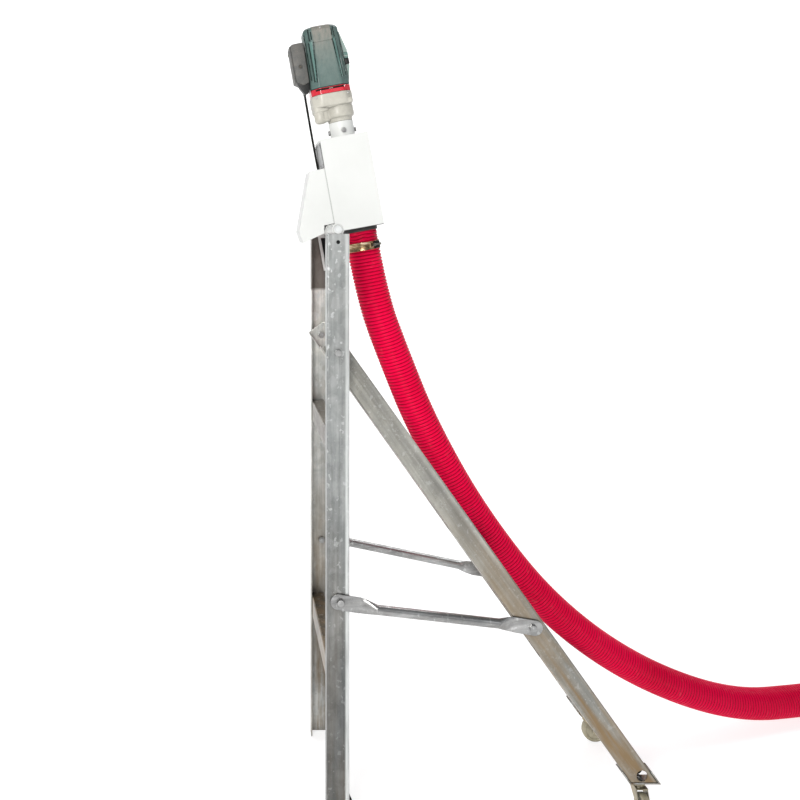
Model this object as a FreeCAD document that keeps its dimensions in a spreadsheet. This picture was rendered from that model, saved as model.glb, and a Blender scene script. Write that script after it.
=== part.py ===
import FreeCAD, Part
import math
import os
import Sketcher
from FreeCAD import Placement, Rotation, Vector

# ---------------------------------------------------------------------------
# Flexible-hose grain auger on a folding A-frame stand, millimetres, +Z up.
# X runs from the discharge side towards the casters, Y across the stand.
# Working frame: X = 0 at the front legs' centre line, Y = 0 mid width, Z = 0
# on the floor.  Everything is then moved by -origin_shift along X, so that the
# row's origin is the bottom centre of the box of everything but the hose and
# the power cable.
# ---------------------------------------------------------------------------

doc = FreeCAD.newDocument("grain_auger")

DIMS = dict(
    origin_shift=406.2,
    # channel section
    web=63.0, flange=40.0, thick=3.0, bend=4.0,
    # front frame
    leg_long=1661.0, front_half=251.5, pivot_z=1330.0, top_hole_z=1638.0, top_hole_rad=5.5,
    rung_up_z=1076.5, rung_low_z=431.5, tie_x=6.0, tie_z=639.0,
    # rear frame
    rake=35.5, rear_half=206.5, rear_top=30.0, rear_cut_z=109.0, rear_tie=958.2,
    rear_rung_up=779.0, rear_rung_low=1290.0, stem_x=865.0,
    # bolts
    bolt_rad=6.0, run_gap=0.06, side_gap=0.4, head_circ=10.4, head_high=8.0,
    # tie rods
    rod_long=555.9, rod_rad=13.5, tongue_half=21.5, tongue_thick=5.0, tongue_over=28.0,
    # casters
    wheel_rad=41.0, wheel_wide=22.0, trail=29.0, axle_rad=4.0, bracket_z=103.0,
    # head
    tilt=10.2, cross_z=1673.5, cross_rad=12.5, cross_wall=3.0,
    box_left=15.0, box_wide=145.0, box_deep=145.0, box_low=-9.0, box_high=279.0, box_wall=2.5,
    axis_u=95.75, motor_u=79.0, lay_u=50.13, lay_y=-14.92,
    collar_rad=37.5, collar_bore=32.2, collar_low=270.0, collar_high=48.0,
    nose_rad=31.5, drum_rad=44.0, spindle_rad=10.0, auger_shaft_rad=12.0,
    spiral_rad=35.5, wire_rad=3.5, spiral_pitch=65.0,
    # hose and its ends
    hose_rad=50.0, hose_bore=45.0, spigot_rad=44.75, spigot_bore=42.75,
    clamp_rad=50.3, clamp_thick=1.2, clamp_wide=15.0,
    flex_rad=39.0, flex_wall=0.6,
    # power cable
    cable_rad=3.5, coil_mid=39.0, coil_half=7.0,
)

sheet = doc.addObject("Spreadsheet::Sheet", "dims")
for row, (alias, value) in enumerate(DIMS.items(), start=1):
    sheet.set("A%d" % row, alias)
    sheet.set("B%d" % row, repr(value))
    sheet.setAlias("B%d" % row, alias)
doc.recompute()


def D(alias):
    return float(sheet.get(alias))


V = Vector
ORIGIN = V(-D("origin_shift"), 0, 0)
STAND = Placement(ORIGIN, Rotation())
HEAD = Placement(ORIGIN + V(0, 0, D("cross_z")), Rotation(V(0, 1, 0), -D("tilt")))
REAR = Placement(ORIGIN + V(0, 0, D("pivot_z")), Rotation(V(0, 1, 0), -D("rake")))
# local x,y of a sketch become X,Z (or u,v in the head); its normal is -Y
SIDE = Rotation(V(1, 0, 0), V(0, 0, 1), V(0, -1, 0), "XYZ")
# local x becomes Z, local y becomes X, local z becomes Y
ACROSS = Rotation(V(0, 0, 1), V(1, 0, 0), V(0, 1, 0), "XYZ")
ALONG_X = Rotation(V(0, 1, 0), 90)     # a cylinder's axis turned to +X
ALONG_Y = Rotation(V(1, 0, 0), -90)    # a cylinder's axis turned to +Y

nodes = []
count = [0]


def fresh(prefix):
    count[0] += 1
    return "%s_%03d" % (prefix, count[0])


def node(obj, label, frame=STAND):
    obj.Label = label
    obj.Placement = frame * obj.Placement
    nodes.append((label, obj))
    return obj


def bind(obj, **exprs):
    for prop, expr in exprs.items():
        obj.setExpression(prop, str(expr))


def cyl(rad, high, pos=V(), rot=Rotation()):
    c = doc.addObject("Part::Cylinder", fresh("cyl"))
    bind(c, Radius=rad, Height=high)
    c.Placement = Placement(pos, rot)
    return c


def cone(rad1, rad2, high, pos=V(), rot=Rotation()):
    c = doc.addObject("Part::Cone", fresh("cone"))
    bind(c, Radius1=rad1, Radius2=rad2, Height=high)
    c.Placement = Placement(pos, rot)
    return c


def box(lx, ly, lz, pos=V(), rot=Rotation()):
    b = doc.addObject("Part::Box", fresh("box"))
    bind(b, Length=lx, Width=ly, Height=lz)
    b.Placement = Placement(pos, rot)
    return b


def hexa(circ, high, pos=V(), rot=Rotation()):
    p = doc.addObject("Part::Prism", fresh("hexa"))
    p.Polygon = 6
    bind(p, Circumradius=circ, Height=high)
    p.Placement = Placement(pos, rot)
    return p


def fuse(*objs):
    f = doc.addObject("Part::MultiFuse", fresh("fuse"))
    f.Shapes = list(objs)
    return f


def cut(base, *tools):
    c = doc.addObject("Part::Cut", fresh("cut"))
    c.Base = base
    c.Tool = tools[0] if len(tools) == 1 else fuse(*tools)
    return c


def group(*objs):
    g = doc.addObject("Part::Compound", fresh("group"))
    g.Links = list(objs)
    return g


def tube(rad, bore, high, pos=V(), rot=Rotation()):
    c = cut(cyl(rad, high), cyl(bore, "%s + 2" % high, V(0, 0, -1)))
    c.Placement = Placement(pos, rot)
    return c


def origin_plane(body, role):
    return [f for f in body.Origin.OriginFeatures if f.Role == role][0]


def prism(points, length, pos=V(), rot=SIDE):
    """A PartDesign pad of a closed polygon; `length` is an expression."""
    body = doc.addObject("PartDesign::Body", fresh("body"))
    sk = body.newObject("Sketcher::SketchObject", fresh("sketch"))
    sk.AttachmentSupport = (origin_plane(body, "XY_Plane"), [""])
    sk.MapMode = "FlatFace"
    n = len(points)
    pts = [V(x, y, 0) for x, y in points]
    sk.addGeometry([Part.LineSegment(pts[i], pts[(i + 1) % n]) for i in range(n)], False)
    for i in range(n):
        sk.addConstraint(Sketcher.Constraint("Coincident", i, 2, (i + 1) % n, 1))
    pad = body.newObject("PartDesign::Pad", fresh("pad"))
    pad.Profile = sk
    pad.setExpression("Length", str(length))
    body.Placement = Placement(pos, rot)
    return body


def channel(length, pos=V(), rot=Rotation()):
    """A folded channel: web along x, flanges towards +y, length along z."""
    w, f, t = D("web"), D("flange"), D("thick")
    body = doc.addObject("PartDesign::Body", fresh("channel"))
    sk = body.newObject("Sketcher::SketchObject", fresh("sketch"))
    sk.AttachmentSupport = (origin_plane(body, "XY_Plane"), [""])
    sk.MapMode = "FlatFace"
    p = [(-w / 2, 0), (w / 2, 0), (w / 2, f), (w / 2 - t, f), (w / 2 - t, t),
         (-w / 2 + t, t), (-w / 2 + t, f), (-w / 2, f)]
    p = [V(x, y, 0) for x, y in p]
    sk.addGeometry([Part.LineSegment(p[i], p[(i + 1) % 8]) for i in range(8)], False)
    C = Sketcher.Constraint
    for i in range(8):
        sk.addConstraint(C("Coincident", i, 2, (i + 1) % 8, 1))
        sk.addConstraint(C("Horizontal" if i % 2 == 0 else "Vertical", i))
    sk.addConstraint(C("PointOnObject", 0, 1, -1))
    for kind, args, expr in (
            ("DistanceX", (0, 1, 0, 2), "dims.web"),
            ("DistanceX", (-1, 1, 0, 2), "dims.web / 2"),
            ("DistanceY", (1, 1, 1, 2), "dims.flange"),
            ("DistanceY", (0, 1, 7, 1), "dims.flange"),
            ("DistanceX", (3, 1, 2, 1), "dims.thick"),
            ("DistanceX", (7, 1, 6, 1), "dims.thick"),
            ("DistanceY", (0, 2, 4, 1), "dims.thick")):
        value = {"dims.web": w, "dims.web / 2": w / 2, "dims.flange": f, "dims.thick": t}[expr]
        idx = sk.addConstraint(C(kind, *args, value))
        sk.setExpression("Constraints[%d]" % idx, expr)
    pad = body.newObject("PartDesign::Pad", fresh("pad"))
    pad.Profile = sk
    pad.setExpression("Length", str(length))
    doc.recompute()
    # bend radii at the two folded corners, outside and inside
    outer, inner = [], []
    for i, e in enumerate(pad.Shape.Edges):
        a, b = e.Vertexes[0].Point, e.Vertexes[-1].Point
        if abs(a.x - b.x) < 1e-6 and abs(a.y - b.y) < 1e-6:
            if abs(abs(a.x) - w / 2) < 1e-4 and abs(a.y) < 1e-4:
                outer.append("Edge%d" % (i + 1))
            elif abs(abs(a.x) - (w / 2 - t)) < 1e-4 and abs(a.y - t) < 1e-4:
                inner.append("Edge%d" % (i + 1))
    fil = body.newObject("PartDesign::Fillet", fresh("bend"))
    fil.Base = (pad, outer)
    fil.setExpression("Radius", "dims.bend")
    doc.recompute()
    body.Tip = fil
    body.Placement = Placement(pos, rot)
    return body


def bolt(rad, shank, head_circ, head_high, pos, rot):
    """Hex bolt: head below z = 0, shank up along +z, then placed."""
    head = cut(hexa(head_circ, head_high, V(0, 0, 0)),
               cut(cyl("%s * 1.4" % head_circ, "%s * 0.3" % head_high),
                   cone("%s * 0.86" % head_circ, "%s * 1.02" % head_circ, "%s * 0.3" % head_high)))
    head.Placement = Placement(V(0, 0, 0), Rotation())
    b = fuse(head, cyl(rad, "%s + %s" % (shank, head_high)))
    h = value(head_high)
    b.Placement = Placement(pos, rot) * Placement(V(0, 0, -h), Rotation())
    return b


def value(expr):
    """The number that an expression over the sheet stands for."""
    text = str(expr)
    total = 1.0
    for factor in text.split("*"):
        factor = factor.strip()
        total *= D(factor[5:]) if factor.startswith("dims.") else float(factor)
    return total


def nut(circ, bore, high, pos, rot):
    n = cut(hexa(circ, high), cyl(bore, "%s + 2" % high, V(0, 0, -1)))
    n.Placement = Placement(pos, rot)
    return n


UP_Y = ALONG_Y                              # local +z -> +Y
DOWN_Y = Rotation(V(1, 0, 0), 90)           # local +z -> -Y


def inward(sign):
    """Rotation that turns local +z to point from a side towards Y = 0."""
    return UP_Y if sign < 0 else DOWN_Y


SIDES = (("near", -1), ("far", 1))

# ------------------------------------------------------------- front frame
for name, s in SIDES:
    half = D("front_half")
    leg = channel("dims.leg_long", V(0, s * half, 0),
                  Rotation() if s < 0 else Rotation(V(0, 0, 1), 180))
    holes = [cyl("dims.top_hole_rad", 8, V(0, s * (half + 2), D("top_hole_z")), inward(s)),
             cyl("dims.bolt_rad + 0.4", 8, V(0, s * (half + 2), D("pivot_z")), inward(s)),
             cyl("dims.bolt_rad + 0.4", 8, V(D("tie_x"), s * (half + 2), D("tie_z")), inward(s))]
    node(cut(leg, *holes), "front_leg_" + name)

rungs = []
for name, z in (("upper", "rung_up_z"), ("lower", "rung_low_z")):
    inner = D("front_half") - 2 * D("thick")
    rung = channel("2 * dims.front_half - 4 * dims.thick",
                   V(-D("web") / 2 + D("thick"), -inner, D(z)), ACROSS)
    rungs.append(rung)
node(group(*rungs), "front_rungs")

# pivot of the rear frame: bolt through the front web, a spacer, the rear web, a nut
pb, ps, pn, tb, tn = [], [], [], [], []
for name, s in SIDES:
    fh, rh, t, g = D("front_half"), D("rear_half"), D("thick"), D("side_gap")
    pb.append(bolt("dims.bolt_rad", 62, "dims.head_circ", "dims.head_high",
                   V(0, s * fh, D("pivot_z")), inward(s)))
    ps.append(tube("dims.bolt_rad + 4", "dims.bolt_rad + 0.3",
                   "dims.front_half - dims.thick - dims.rear_half - dims.side_gap",
                   V(0, s * (fh - t), D("pivot_z")), inward(s)))
    pn.append(nut("dims.head_circ", "dims.bolt_rad + 0.05", 10,
                  V(0, s * (rh - t - g), D("pivot_z")), inward(s)))
    tb.append(bolt("dims.bolt_rad", 21, "dims.head_circ", "dims.head_high",
                   V(D("tie_x"), s * (fh + 2 * g + D("tongue_thick")), D("tie_z")), inward(s)))
    tn.append(nut("dims.head_circ", "dims.bolt_rad + 0.05", 9,
                  V(D("tie_x"), s * (fh - t), D("tie_z")), inward(s)))
node(group(*(pb + tb)), "frame_bolts")
node(group(*ps), "pivot_spacers")
node(group(*(pn + tn)), "frame_nuts")

# cross tube on the leg tops, with an ear inside each channel
node(tube("dims.cross_rad", "dims.cross_rad - dims.cross_wall", "2 * dims.front_half",
          V(0, -D("front_half"), D("cross_z")), UP_Y), "head_cross_tube")
ears = []
for name, s in SIDES:
    y = -242.5 if s < 0 else 247.5
    plate = prism([(-11, 0), (-11, -135), (3, -135), (12, -62), (12, 0)], 5, V(0, y, 0))
    eye = cyl(17, 5, V(0, y - 5, 0), UP_Y)
    ears.append(cut(fuse(plate, eye), cyl("dims.cross_rad + 0.05", 12, V(0, y - 9, 0), UP_Y)))
node(group(*ears), "head_ears", HEAD)

# --------------------------------------------------------------- rear frame
S35, C35 = math.sin(math.radians(D("rake"))), math.cos(math.radians(D("rake")))


def rear_world(perp, along):
    """Working-frame X, Z of a point in the rear frame's side view."""
    return (along * S35 + perp * C35, D("pivot_z") - along * C35 + perp * S35)


def to_rear(x, z):
    """The rear frame's own (x, z) of a working-frame X, Z."""
    dx, dz = x, z - D("pivot_z")
    return (dx * C35 + dz * S35, -dx * S35 + dz * C35)


for name, s in SIDES:
    rh = D("rear_half")
    leg = channel("1540 + dims.rear_top", V(0, s * rh, -1540),
                  Rotation() if s < 0 else Rotation(V(0, 0, 1), 180))
    cx, cz = to_rear(865, 109)
    nx, nz = to_rear(865, 127)
    level = Rotation(V(0, 1, 0), D("rake"))
    trim = box(400, 120, 200, V(), Rotation())
    trim.Placement = (Placement(V(cx, 0, cz), level)
                      * Placement(V(-200, s * 190 - 60, -200), Rotation()))
    notch = cyl(15.5, 10, V(nx, s * (rh + 2), nz), inward(s))
    hole_p = cyl("dims.bolt_rad + dims.run_gap", 8, V(0, s * (rh + 2), 0), inward(s))
    hole_t = cyl("dims.bolt_rad + 0.5", 8, V(-2.4, s * (rh + 2), -D("rear_tie")), inward(s))
    node(cut(leg, trim, notch, hole_p, hole_t), "rear_leg_" + name, REAR)

rungs = []
for name, along in (("upper", "rear_rung_up"), ("lower", "rear_rung_low")):
    inner = D("rear_half") - D("flange")
    rung = channel("2 * dims.rear_half - 2 * dims.flange",
                   V(-D("web") / 2, -inner, -D(along)), ACROSS)
    rungs.append(rung)
node(group(*rungs), "rear_rungs", REAR)

# bent saddle under each rear leg, kingpin and nut


def at_height(perp, z):
    return rear_world(perp, (D("pivot_z") - z + perp * S35) / C35)


saddle = [rear_world(-35.6, 1441), rear_world(-31.6, 1441), at_height(-31.6, 107.0), at_height(31.6, 107.0),
          rear_world(31.6, 1485), rear_world(35.6, 1485), at_height(35.6, 103.0), at_height(-35.6, 103.0)]
br, st, cn = [], [], []
for name, s in SIDES:
    y0 = -(D("rear_half") - D("flange")) if s < 0 else D("rear_half")
    ym = s * (D("rear_half") - D("flange") / 2)
    br.append(cut(prism(saddle, "dims.flange", V(0, y0, 0)),
                  cyl("dims.bolt_rad + 0.3", 20, V(D("stem_x"), ym, 95))))
    stem = fuse(cyl("dims.bolt_rad", 32, V(D("stem_x"), ym, 84.5)),
                cyl(10, 3.1, V(D("stem_x"), ym, 84.5)))
    st.append(stem)
    cn.append(nut("dims.head_circ", "dims.bolt_rad + 0.05", 8, V(D("stem_x"), ym, 107.0), Rotation()))
node(group(*br), "caster_brackets")
node(group(*(st + cn)), "caster_kingpins")

# casters: the near one stands turned a quarter, the far one trails along +X
for name, s in SIDES:
    ym = s * (D("rear_half") - D("flange") / 2)
    turn = Rotation(V(0, 0, 1), -90 if s < 0 else 0)
    frame = Placement(ORIGIN + V(D("stem_x"), ym, 0), turn)
    tr, wr = D("trail"), D("wheel_rad")
    cheek_pts = [(-17, 91), (17, 91), (22, 84), (tr + 11, wr + 5), (tr + 11, wr - 9), (tr, wr - 12),
                 (tr - 11, wr - 9), (tr - 11, wr + 5), (-17, 80)]
    cheeks = [prism(cheek_pts, 2.5, V(0, y, 0)) for y in (16.5, -14.0)]
    top = box(39, 33, 3, V(-17, -16.5, 88))
    race = tube(16, "dims.bolt_rad + dims.run_gap", 11.4, V(0, 0, 91))
    fork = cut(fuse(cheeks[0], cheeks[1], top, race),
               cyl("dims.bolt_rad + dims.run_gap", 20, V(0, 0, 86)),
               cyl("dims.axle_rad + 0.05", 50, V(tr, -25, wr), UP_Y))
    axle = fuse(cyl("dims.axle_rad", 39, V(tr, -19.5, wr), UP_Y),
                hexa(7.4, 4.5, V(tr, -21, wr), UP_Y), hexa(7.4, 4.5, V(tr, 16.5, wr), UP_Y))
    node(group(fork, axle), "caster_fork_" + name, frame)
    w = D("wheel_wide")
    rim = cut(cyl("dims.wheel_rad", "dims.wheel_wide", V(tr, -w / 2, wr), UP_Y),
              cut(cyl(34, 5, V(tr, -w / 2 - 1, wr), UP_Y), cyl(12, 5, V(tr, -w / 2 - 1, wr), UP_Y)),
              cut(cyl(34, 5, V(tr, w / 2 - 4, wr), UP_Y), cyl(12, 5, V(tr, w / 2 - 4, wr), UP_Y)))
    wheel = cut(fuse(rim, cyl(9, "dims.wheel_wide + 5", V(tr, -w / 2 - 2.5, wr), UP_Y)),
                cyl("dims.axle_rad + dims.run_gap", 60, V(tr, -30, wr), UP_Y))
    node(wheel, "caster_wheel_" + name, frame)

# ----------------------------------------------------------------- tie rods
# Each is a tube flattened at both ends: the flat tongues lie parallel to the
# webs, flush with the tube's inner side.
rod_angle = math.degrees(math.atan2(90.5, 548.5))
for name, s in SIDES:
    L, g, tt = D("rod_long"), D("side_gap"), D("tongue_thick")
    yf = s * (D("front_half") + g)           # inner plane of the front tongue
    yr = s * (D("rear_half") + g)
    r, th = D("rod_rad"), D("tongue_half")

    def section(x, y, ry, rz):
        if abs(ry - rz) < 1e-6:
            e = Part.Circle(V(x, y, 0), V(1, 0, 0), ry)
        elif rz > ry:
            e = Part.Ellipse(V(x, y, rz), V(x, y + ry, 0), V(x, y, 0))
        return Part.Wire([e.toShape()])

    steps = ((50, tt / 2, th), (62, 3.6, 21.0), (74, 6.2, 19.4), (88, 10.0, 16.6), (100, r, r))
    secs_f = [section(x, yf + s * ry, ry, rz) for x, ry, rz in steps]
    secs_r = [section(L - x, yr + s * ry, ry, rz) for x, ry, rz in reversed(steps)]
    taper_f = Part.makeLoft(secs_f, True, True)
    taper_r = Part.makeLoft(secs_r, True, True)
    a, b = V(100, yf + s * r, 0), V(L - 100, yr + s * r, 0)
    mid = Part.makeLoft([secs_f[-1], secs_r[0]], True, True)

    def tongue(xa, xb, xbolt, y):
        plate = Part.makeBox(xb - xa, tt, 2 * th, V(xa, y if s > 0 else y - tt, -th))
        eye = Part.makeCylinder(th, tt, V(xbolt, y if s > 0 else y - tt, 0), V(0, 1, 0))
        return plate, eye

    pf = tongue(7, 56, 0, yf)
    pr = tongue(L - 56, L - 7, L, yr)
    ext_f = Part.makeBox(14, tt, 2 * th, V(-7, yf if s > 0 else yf - tt, -th))
    ext_r = Part.makeBox(14, tt, 2 * th, V(L - 7, yr if s > 0 else yr - tt, -th))
    eye_f = Part.makeCylinder(th, tt, V(-6.5, yf if s > 0 else yf - tt, 0), V(0, 1, 0))
    eye_r = Part.makeCylinder(th, tt, V(L + 6.5, yr if s > 0 else yr - tt, 0), V(0, 1, 0))
    shape = mid.multiFuse([taper_f, taper_r, pf[0], pr[0], ext_f, ext_r, eye_f, eye_r])
    bore_f = Part.makeCylinder(D("bolt_rad") + D("run_gap"), 40, V(0, yf - 20, 0), V(0, 1, 0))
    bore_r = Part.makeCylinder(D("bolt_rad") + 0.3, 40, V(L, yr - 20, 0), V(0, 1, 0))
    shape = shape.cut(bore_f).cut(bore_r)
    rod = doc.addObject("Part::Feature", "rod_" + name)
    rod.Shape = shape
    rod_frame = Placement(ORIGIN + V(D("tie_x"), 0, D("tie_z")), Rotation(V(0, 1, 0), rod_angle))
    # the bolt at the opened pivot: its shank ends inside the rod's thickness
    bz = bolt("dims.bolt_rad", "dims.tongue_thick - 0.3", "dims.head_circ", "dims.head_high",
              V(L, yr + s * tt, 0), inward(s))
    node(group(rod, bz), "tie_rod_" + name, rod_frame)

# ----------------------------------------------------------- discharge head
ax = D("axis_u")
bl, bw, bd, b0, bh, wl = (D(k) for k in ("box_left", "box_wide", "box_deep", "box_low", "box_high", "box_wall"))
shell = cut(box("dims.box_wide", "dims.box_deep", "dims.box_high", V(bl, -bd / 2, b0)),
            box("dims.box_wide - 2 * dims.box_wall", "dims.box_deep - 2 * dims.box_wall",
                "dims.box_high - 2 * dims.box_wall", V(bl + wl, -bd / 2 + wl, b0 + wl)),
            box(8, 132, 156, V(bl - 3, -66, 22)),
            cyl(30, 10, V(ax, 0, b0 + bh - 6)),
            cyl("dims.spigot_rad + 0.2", 10, V(ax, 0, b0 - 4)))

outer = [(-31, 183.5), (bl, 183.5), (bl, 17), (-16.5, 17), (-20.5, -7), (-87.7, -24.6), (-93, 10)]
inner = [(-29.6, 181.5), (bl + 1, 181.5), (bl + 1, 19), (-18.3, 19), (-22.7, -7.6), (-23.6, -13),
         (-86.2, -29.5), (-85.6, -24.0), (-90.95, 9.6)]
node(cut(prism(outer, 138, V(0, 69, 0)), prism(inner, 134, V(0, 67, 0))), "discharge_spout", HEAD)

lugs = []
for y in (-64.0, 58.0):
    lug = fuse(cyl(15.5, 6, V(0, y, 0), UP_Y), box(bl, 6, 31, V(0, y, -15.5)))
    lugs.append(cut(lug, cyl("dims.cross_rad + 0.05", 20, V(0, y - 6, 0), UP_Y)))
node(fuse(shell, *lugs), "discharge_box", HEAD)

collar = cut(cyl("dims.collar_rad", "dims.collar_high", V(ax, 0, D("collar_low"))),
             cyl("dims.collar_bore", 60, V(ax, 0, D("collar_low") - 5)),
             cyl(4.2, 100, V(ax - 50, 0, 290), ALONG_X), cyl(4.2, 100, V(ax, -50, 290), UP_Y))
node(collar, "box_collar", HEAD)
cb = []
for k in range(4):
    a = math.radians(90 * k)
    d = V(math.cos(a), math.sin(a), 0)
    cb.append(bolt(4, "dims.collar_rad - dims.nose_rad - 0.1", 7.5, 5.5,
                   V(ax, 0, 290) + d * D("collar_rad"), Rotation(V(0, 0, 1), -d)))
node(group(*cb), "collar_bolts", HEAD)

sr = D("spigot_rad")
node(cut(fuse(cyl("dims.spigot_rad", 93.5, V(ax, 0, -100)), cyl(52, 2, V(ax, 0, b0 + wl))),
         cyl("dims.spigot_bore", 120, V(ax, 0, -110))), "hose_spigot", HEAD)
node(tube(29.5, "dims.spindle_rad + dims.run_gap", "dims.box_wall", V(ax, 0, b0 + bh - wl)),
     "shaft_seal", HEAD)


def band(z_mid, centre, screw_turn):
    """Worm-drive band round a hose along local z, with its screw housing."""
    w = D("clamp_wide")
    ring = cut(cyl("dims.clamp_rad + dims.clamp_thick", "dims.clamp_wide", V(0, 0, z_mid - w / 2)),
               cyl("dims.clamp_rad", "dims.clamp_wide + 4", V(0, 0, z_mid - w / 2 - 2)))
    hump = cut(box(11, 26, 17, V(D("clamp_rad") - 1, -13, z_mid - 8.5)),
               cyl("dims.clamp_rad", 30, V(0, 0, z_mid - 15)),
               cyl(3.6, 40, V(D("clamp_rad") + 5.6, -20, z_mid), UP_Y))
    screw = fuse(cyl(3.5, 32, V(D("clamp_rad") + 5.6, -15, z_mid), UP_Y),
                 hexa(5.4, 5, V(D("clamp_rad") + 5.6, -19, z_mid), UP_Y))
    r = fuse(ring, hump)
    for o in (r, screw):
        o.Placement = Placement(centre, Rotation(V(0, 0, 1), screw_turn))
    return r, screw


ring, screw = band(-67.5, V(ax, 0, 0), -28)
node(group(ring, screw), "hose_clamp", HEAD)


def helix(rad, pitch, high, wire, axis_pos, lead_pos=V()):
    h = Part.makeHelix(pitch, high, rad)
    prof = Part.Wire([Part.Circle(V(rad, 0, 0), V(0, 2 * math.pi * rad, pitch), wire).toShape()])
    sw = Part.Wire(h.Edges).makePipeShell([prof], True, True)
    sw.translate(axis_pos)
    return sw


# head auger: a shaft with the stiff top end of the spiral welded on by spokes
sp, wr_, pi_ = D("spiral_rad"), D("wire_rad"), D("spiral_pitch")
hs = helix(sp, pi_, 2.75 * pi_, wr_, V(ax, 0, -6))
shaft = Part.makeCylinder(D("auger_shaft_rad"), 236, V(ax, 0, -4))
spokes = []
for turn_n in (0.25, 1.25, 2.5):
    a = 2 * math.pi * turn_n
    spokes.append(Part.makeCylinder(4, sp, V(ax, 0, -6 + turn_n * pi_),
                                    V(math.cos(a), math.sin(a), 0)))
auger = doc.addObject("Part::Feature", "head_auger_solid")
auger.Shape = shaft.multiFuse([hs] + spokes)
node(auger, "head_auger", HEAD)

node(cut(cyl(20, 56, V(ax, 0, 206)),
         cyl("dims.auger_shaft_rad + 0.02", 28, V(ax, 0, 205)),
         cyl("dims.spindle_rad + 0.02", 40, V(ax, 0, 230))), "drive_coupling", HEAD)
node(fuse(cyl("dims.spindle_rad", 125.4, V(ax, 0, 232.6)), cyl(6, 11, V(ax, 0, 358))),
     "output_spindle", HEAD)


def gear(module, teeth, z0, high, centre, phase, bore):
    """A spur gear with straight-sided teeth, one tooth centred on `phase`."""
    ro, rp, rr = module * (teeth / 2 + 0.9), module * teeth / 2, module * (teeth / 2 - 1.15)
    half = math.pi / (2 * teeth)
    pts = []
    for k in range(teeth):
        a = phase + 2 * math.pi * k / teeth
        for rad, da in ((rr, -1.35), (rp, -0.82), (ro, -0.40), (ro, 0.40), (rp, 0.82), (rr, 1.35)):
            ang = a + da * half
            pts.append(V(centre.x + rad * math.cos(ang), centre.y + rad * math.sin(ang), z0))
    solid = Part.Face(Part.makePolygon(pts + [pts[0]])).extrude(V(0, 0, high))
    if bore:
        solid = solid.cut(Part.makeCylinder(bore, high + 2, V(centre.x, centre.y, z0 - 1)))
    return solid


OUT, LAY, ARM = V(ax, 0, 0), V(D("lay_u"), D("lay_y"), 0), V(D("motor_u"), 0, 0)
ang_al = math.atan2(LAY.y - ARM.y, LAY.x - ARM.x)      # armature -> layshaft
ang_lo = math.atan2(OUT.y - LAY.y, OUT.x - LAY.x)      # layshaft -> output

og = doc.addObject("Part::Feature", "output_gear_solid")
og.Shape = gear(1.5, 52, 343, 14.5, OUT, ang_lo + math.pi + math.pi / 52, D("spindle_rad") + 0.01)
node(og, "output_gear", HEAD)
ls = doc.addObject("Part::Feature", "layshaft_solid")
ls.Shape = Part.makeCylinder(5, 71, V(LAY.x, LAY.y, 333.8)).fuse(gear(1.5, 12, 342.5, 16, LAY, ang_lo, 0))
node(ls, "layshaft", HEAD)
lg = doc.addObject("Part::Feature", "layshaft_gear_solid")
lg.Shape = gear(1.0, 56, 380, 11, LAY, ang_al + math.pi + math.pi / 56, 5.01)
node(lg, "layshaft_gear", HEAD)
ar = doc.addObject("Part::Feature", "armature_shaft_solid")
ar.Shape = gear(1.0, 9, 377, 18, ARM, ang_al, 0).multiFuse([
    Part.makeCylinder(6, 209, V(ARM.x, ARM.y, 395)), Part.makeCylinder(3.2, 5, V(ARM.x, ARM.y, 373.5))])
node(ar, "armature_shaft", HEAD)

node(group(tube(8, 5.06, 7, LAY + V(0, 0, 334)), tube(8, 5.06, 6, LAY + V(0, 0, 399)),
           tube(22, "dims.spindle_rad + dims.run_gap", 12, OUT + V(0, 0, 290)),
           tube(9, 6.06, 7, OUT + V(0, 0, 362.4)),
           tube(14, 6.06, 6, ARM + V(0, 0, 399)), tube(13, 6.06, 8, ARM + V(0, 0, 594))),
     "shaft_bearings", HEAD)


def oct_pts(cx, cy, hx, hy, c):
    return [(cx - hx + c, cy - hy), (cx + hx - c, cy - hy), (cx + hx, cy - hy + c), (cx + hx, cy + hy - c),
            (cx + hx - c, cy + hy), (cx - hx + c, cy + hy), (cx - hx, cy + hy - c), (cx - hx, cy - hy + c)]


FLAT = Rotation()
mu = D("motor_u")
gb_outer = fuse(cyl("dims.nose_rad", 36, V(ax, 0, 285)), cyl(37, 14, V(ax, 0, 318)),
                cyl("dims.drum_rad", 35, V(ax, 0, 331)),
                cyl(17, 37, V(LAY.x, LAY.y, 329)),
                prism(oct_pts(mu, 0, 61, 57, 24), 42, V(0, 0, 363), FLAT))
gb_inner = [cyl(22, 62, V(ax, 0, 280)), cyl(41.6, 20.6, V(ax, 0, 341)),
            cyl(12, 31.5, V(LAY.x, LAY.y, 341)), cyl(8, 8, V(LAY.x, LAY.y, 333.6)),
            cyl(9, 8.6, V(ax, 0, 361)), prism(oct_pts(mu, 0, 58.6, 54.6, 23.2), 40, V(0, 0, 371.5), FLAT)]
node(cut(gb_outer, *gb_inner), "gearbox_housing", HEAD)
node(cut(prism(oct_pts(mu, 0, 58.5, 54.5, 23.2), 6, V(0, 0, 399), FLAT),
         cyl(14, 10, ARM + V(0, 0, 397)), cyl(8, 10, LAY + V(0, 0, 397))), "gearbox_plate", HEAD)
node(cut(prism(oct_pts(mu, 0, 60, 56.5, 24), 19, V(0, 0, 405), FLAT),
         cyl(50, 30, V(mu, 0, 400)),
         box(88, 20, 5, V(30, -60, 415.5)), box(88, 20, 5, V(30, 40, 415.5))), "fan_ring", HEAD)

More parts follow.
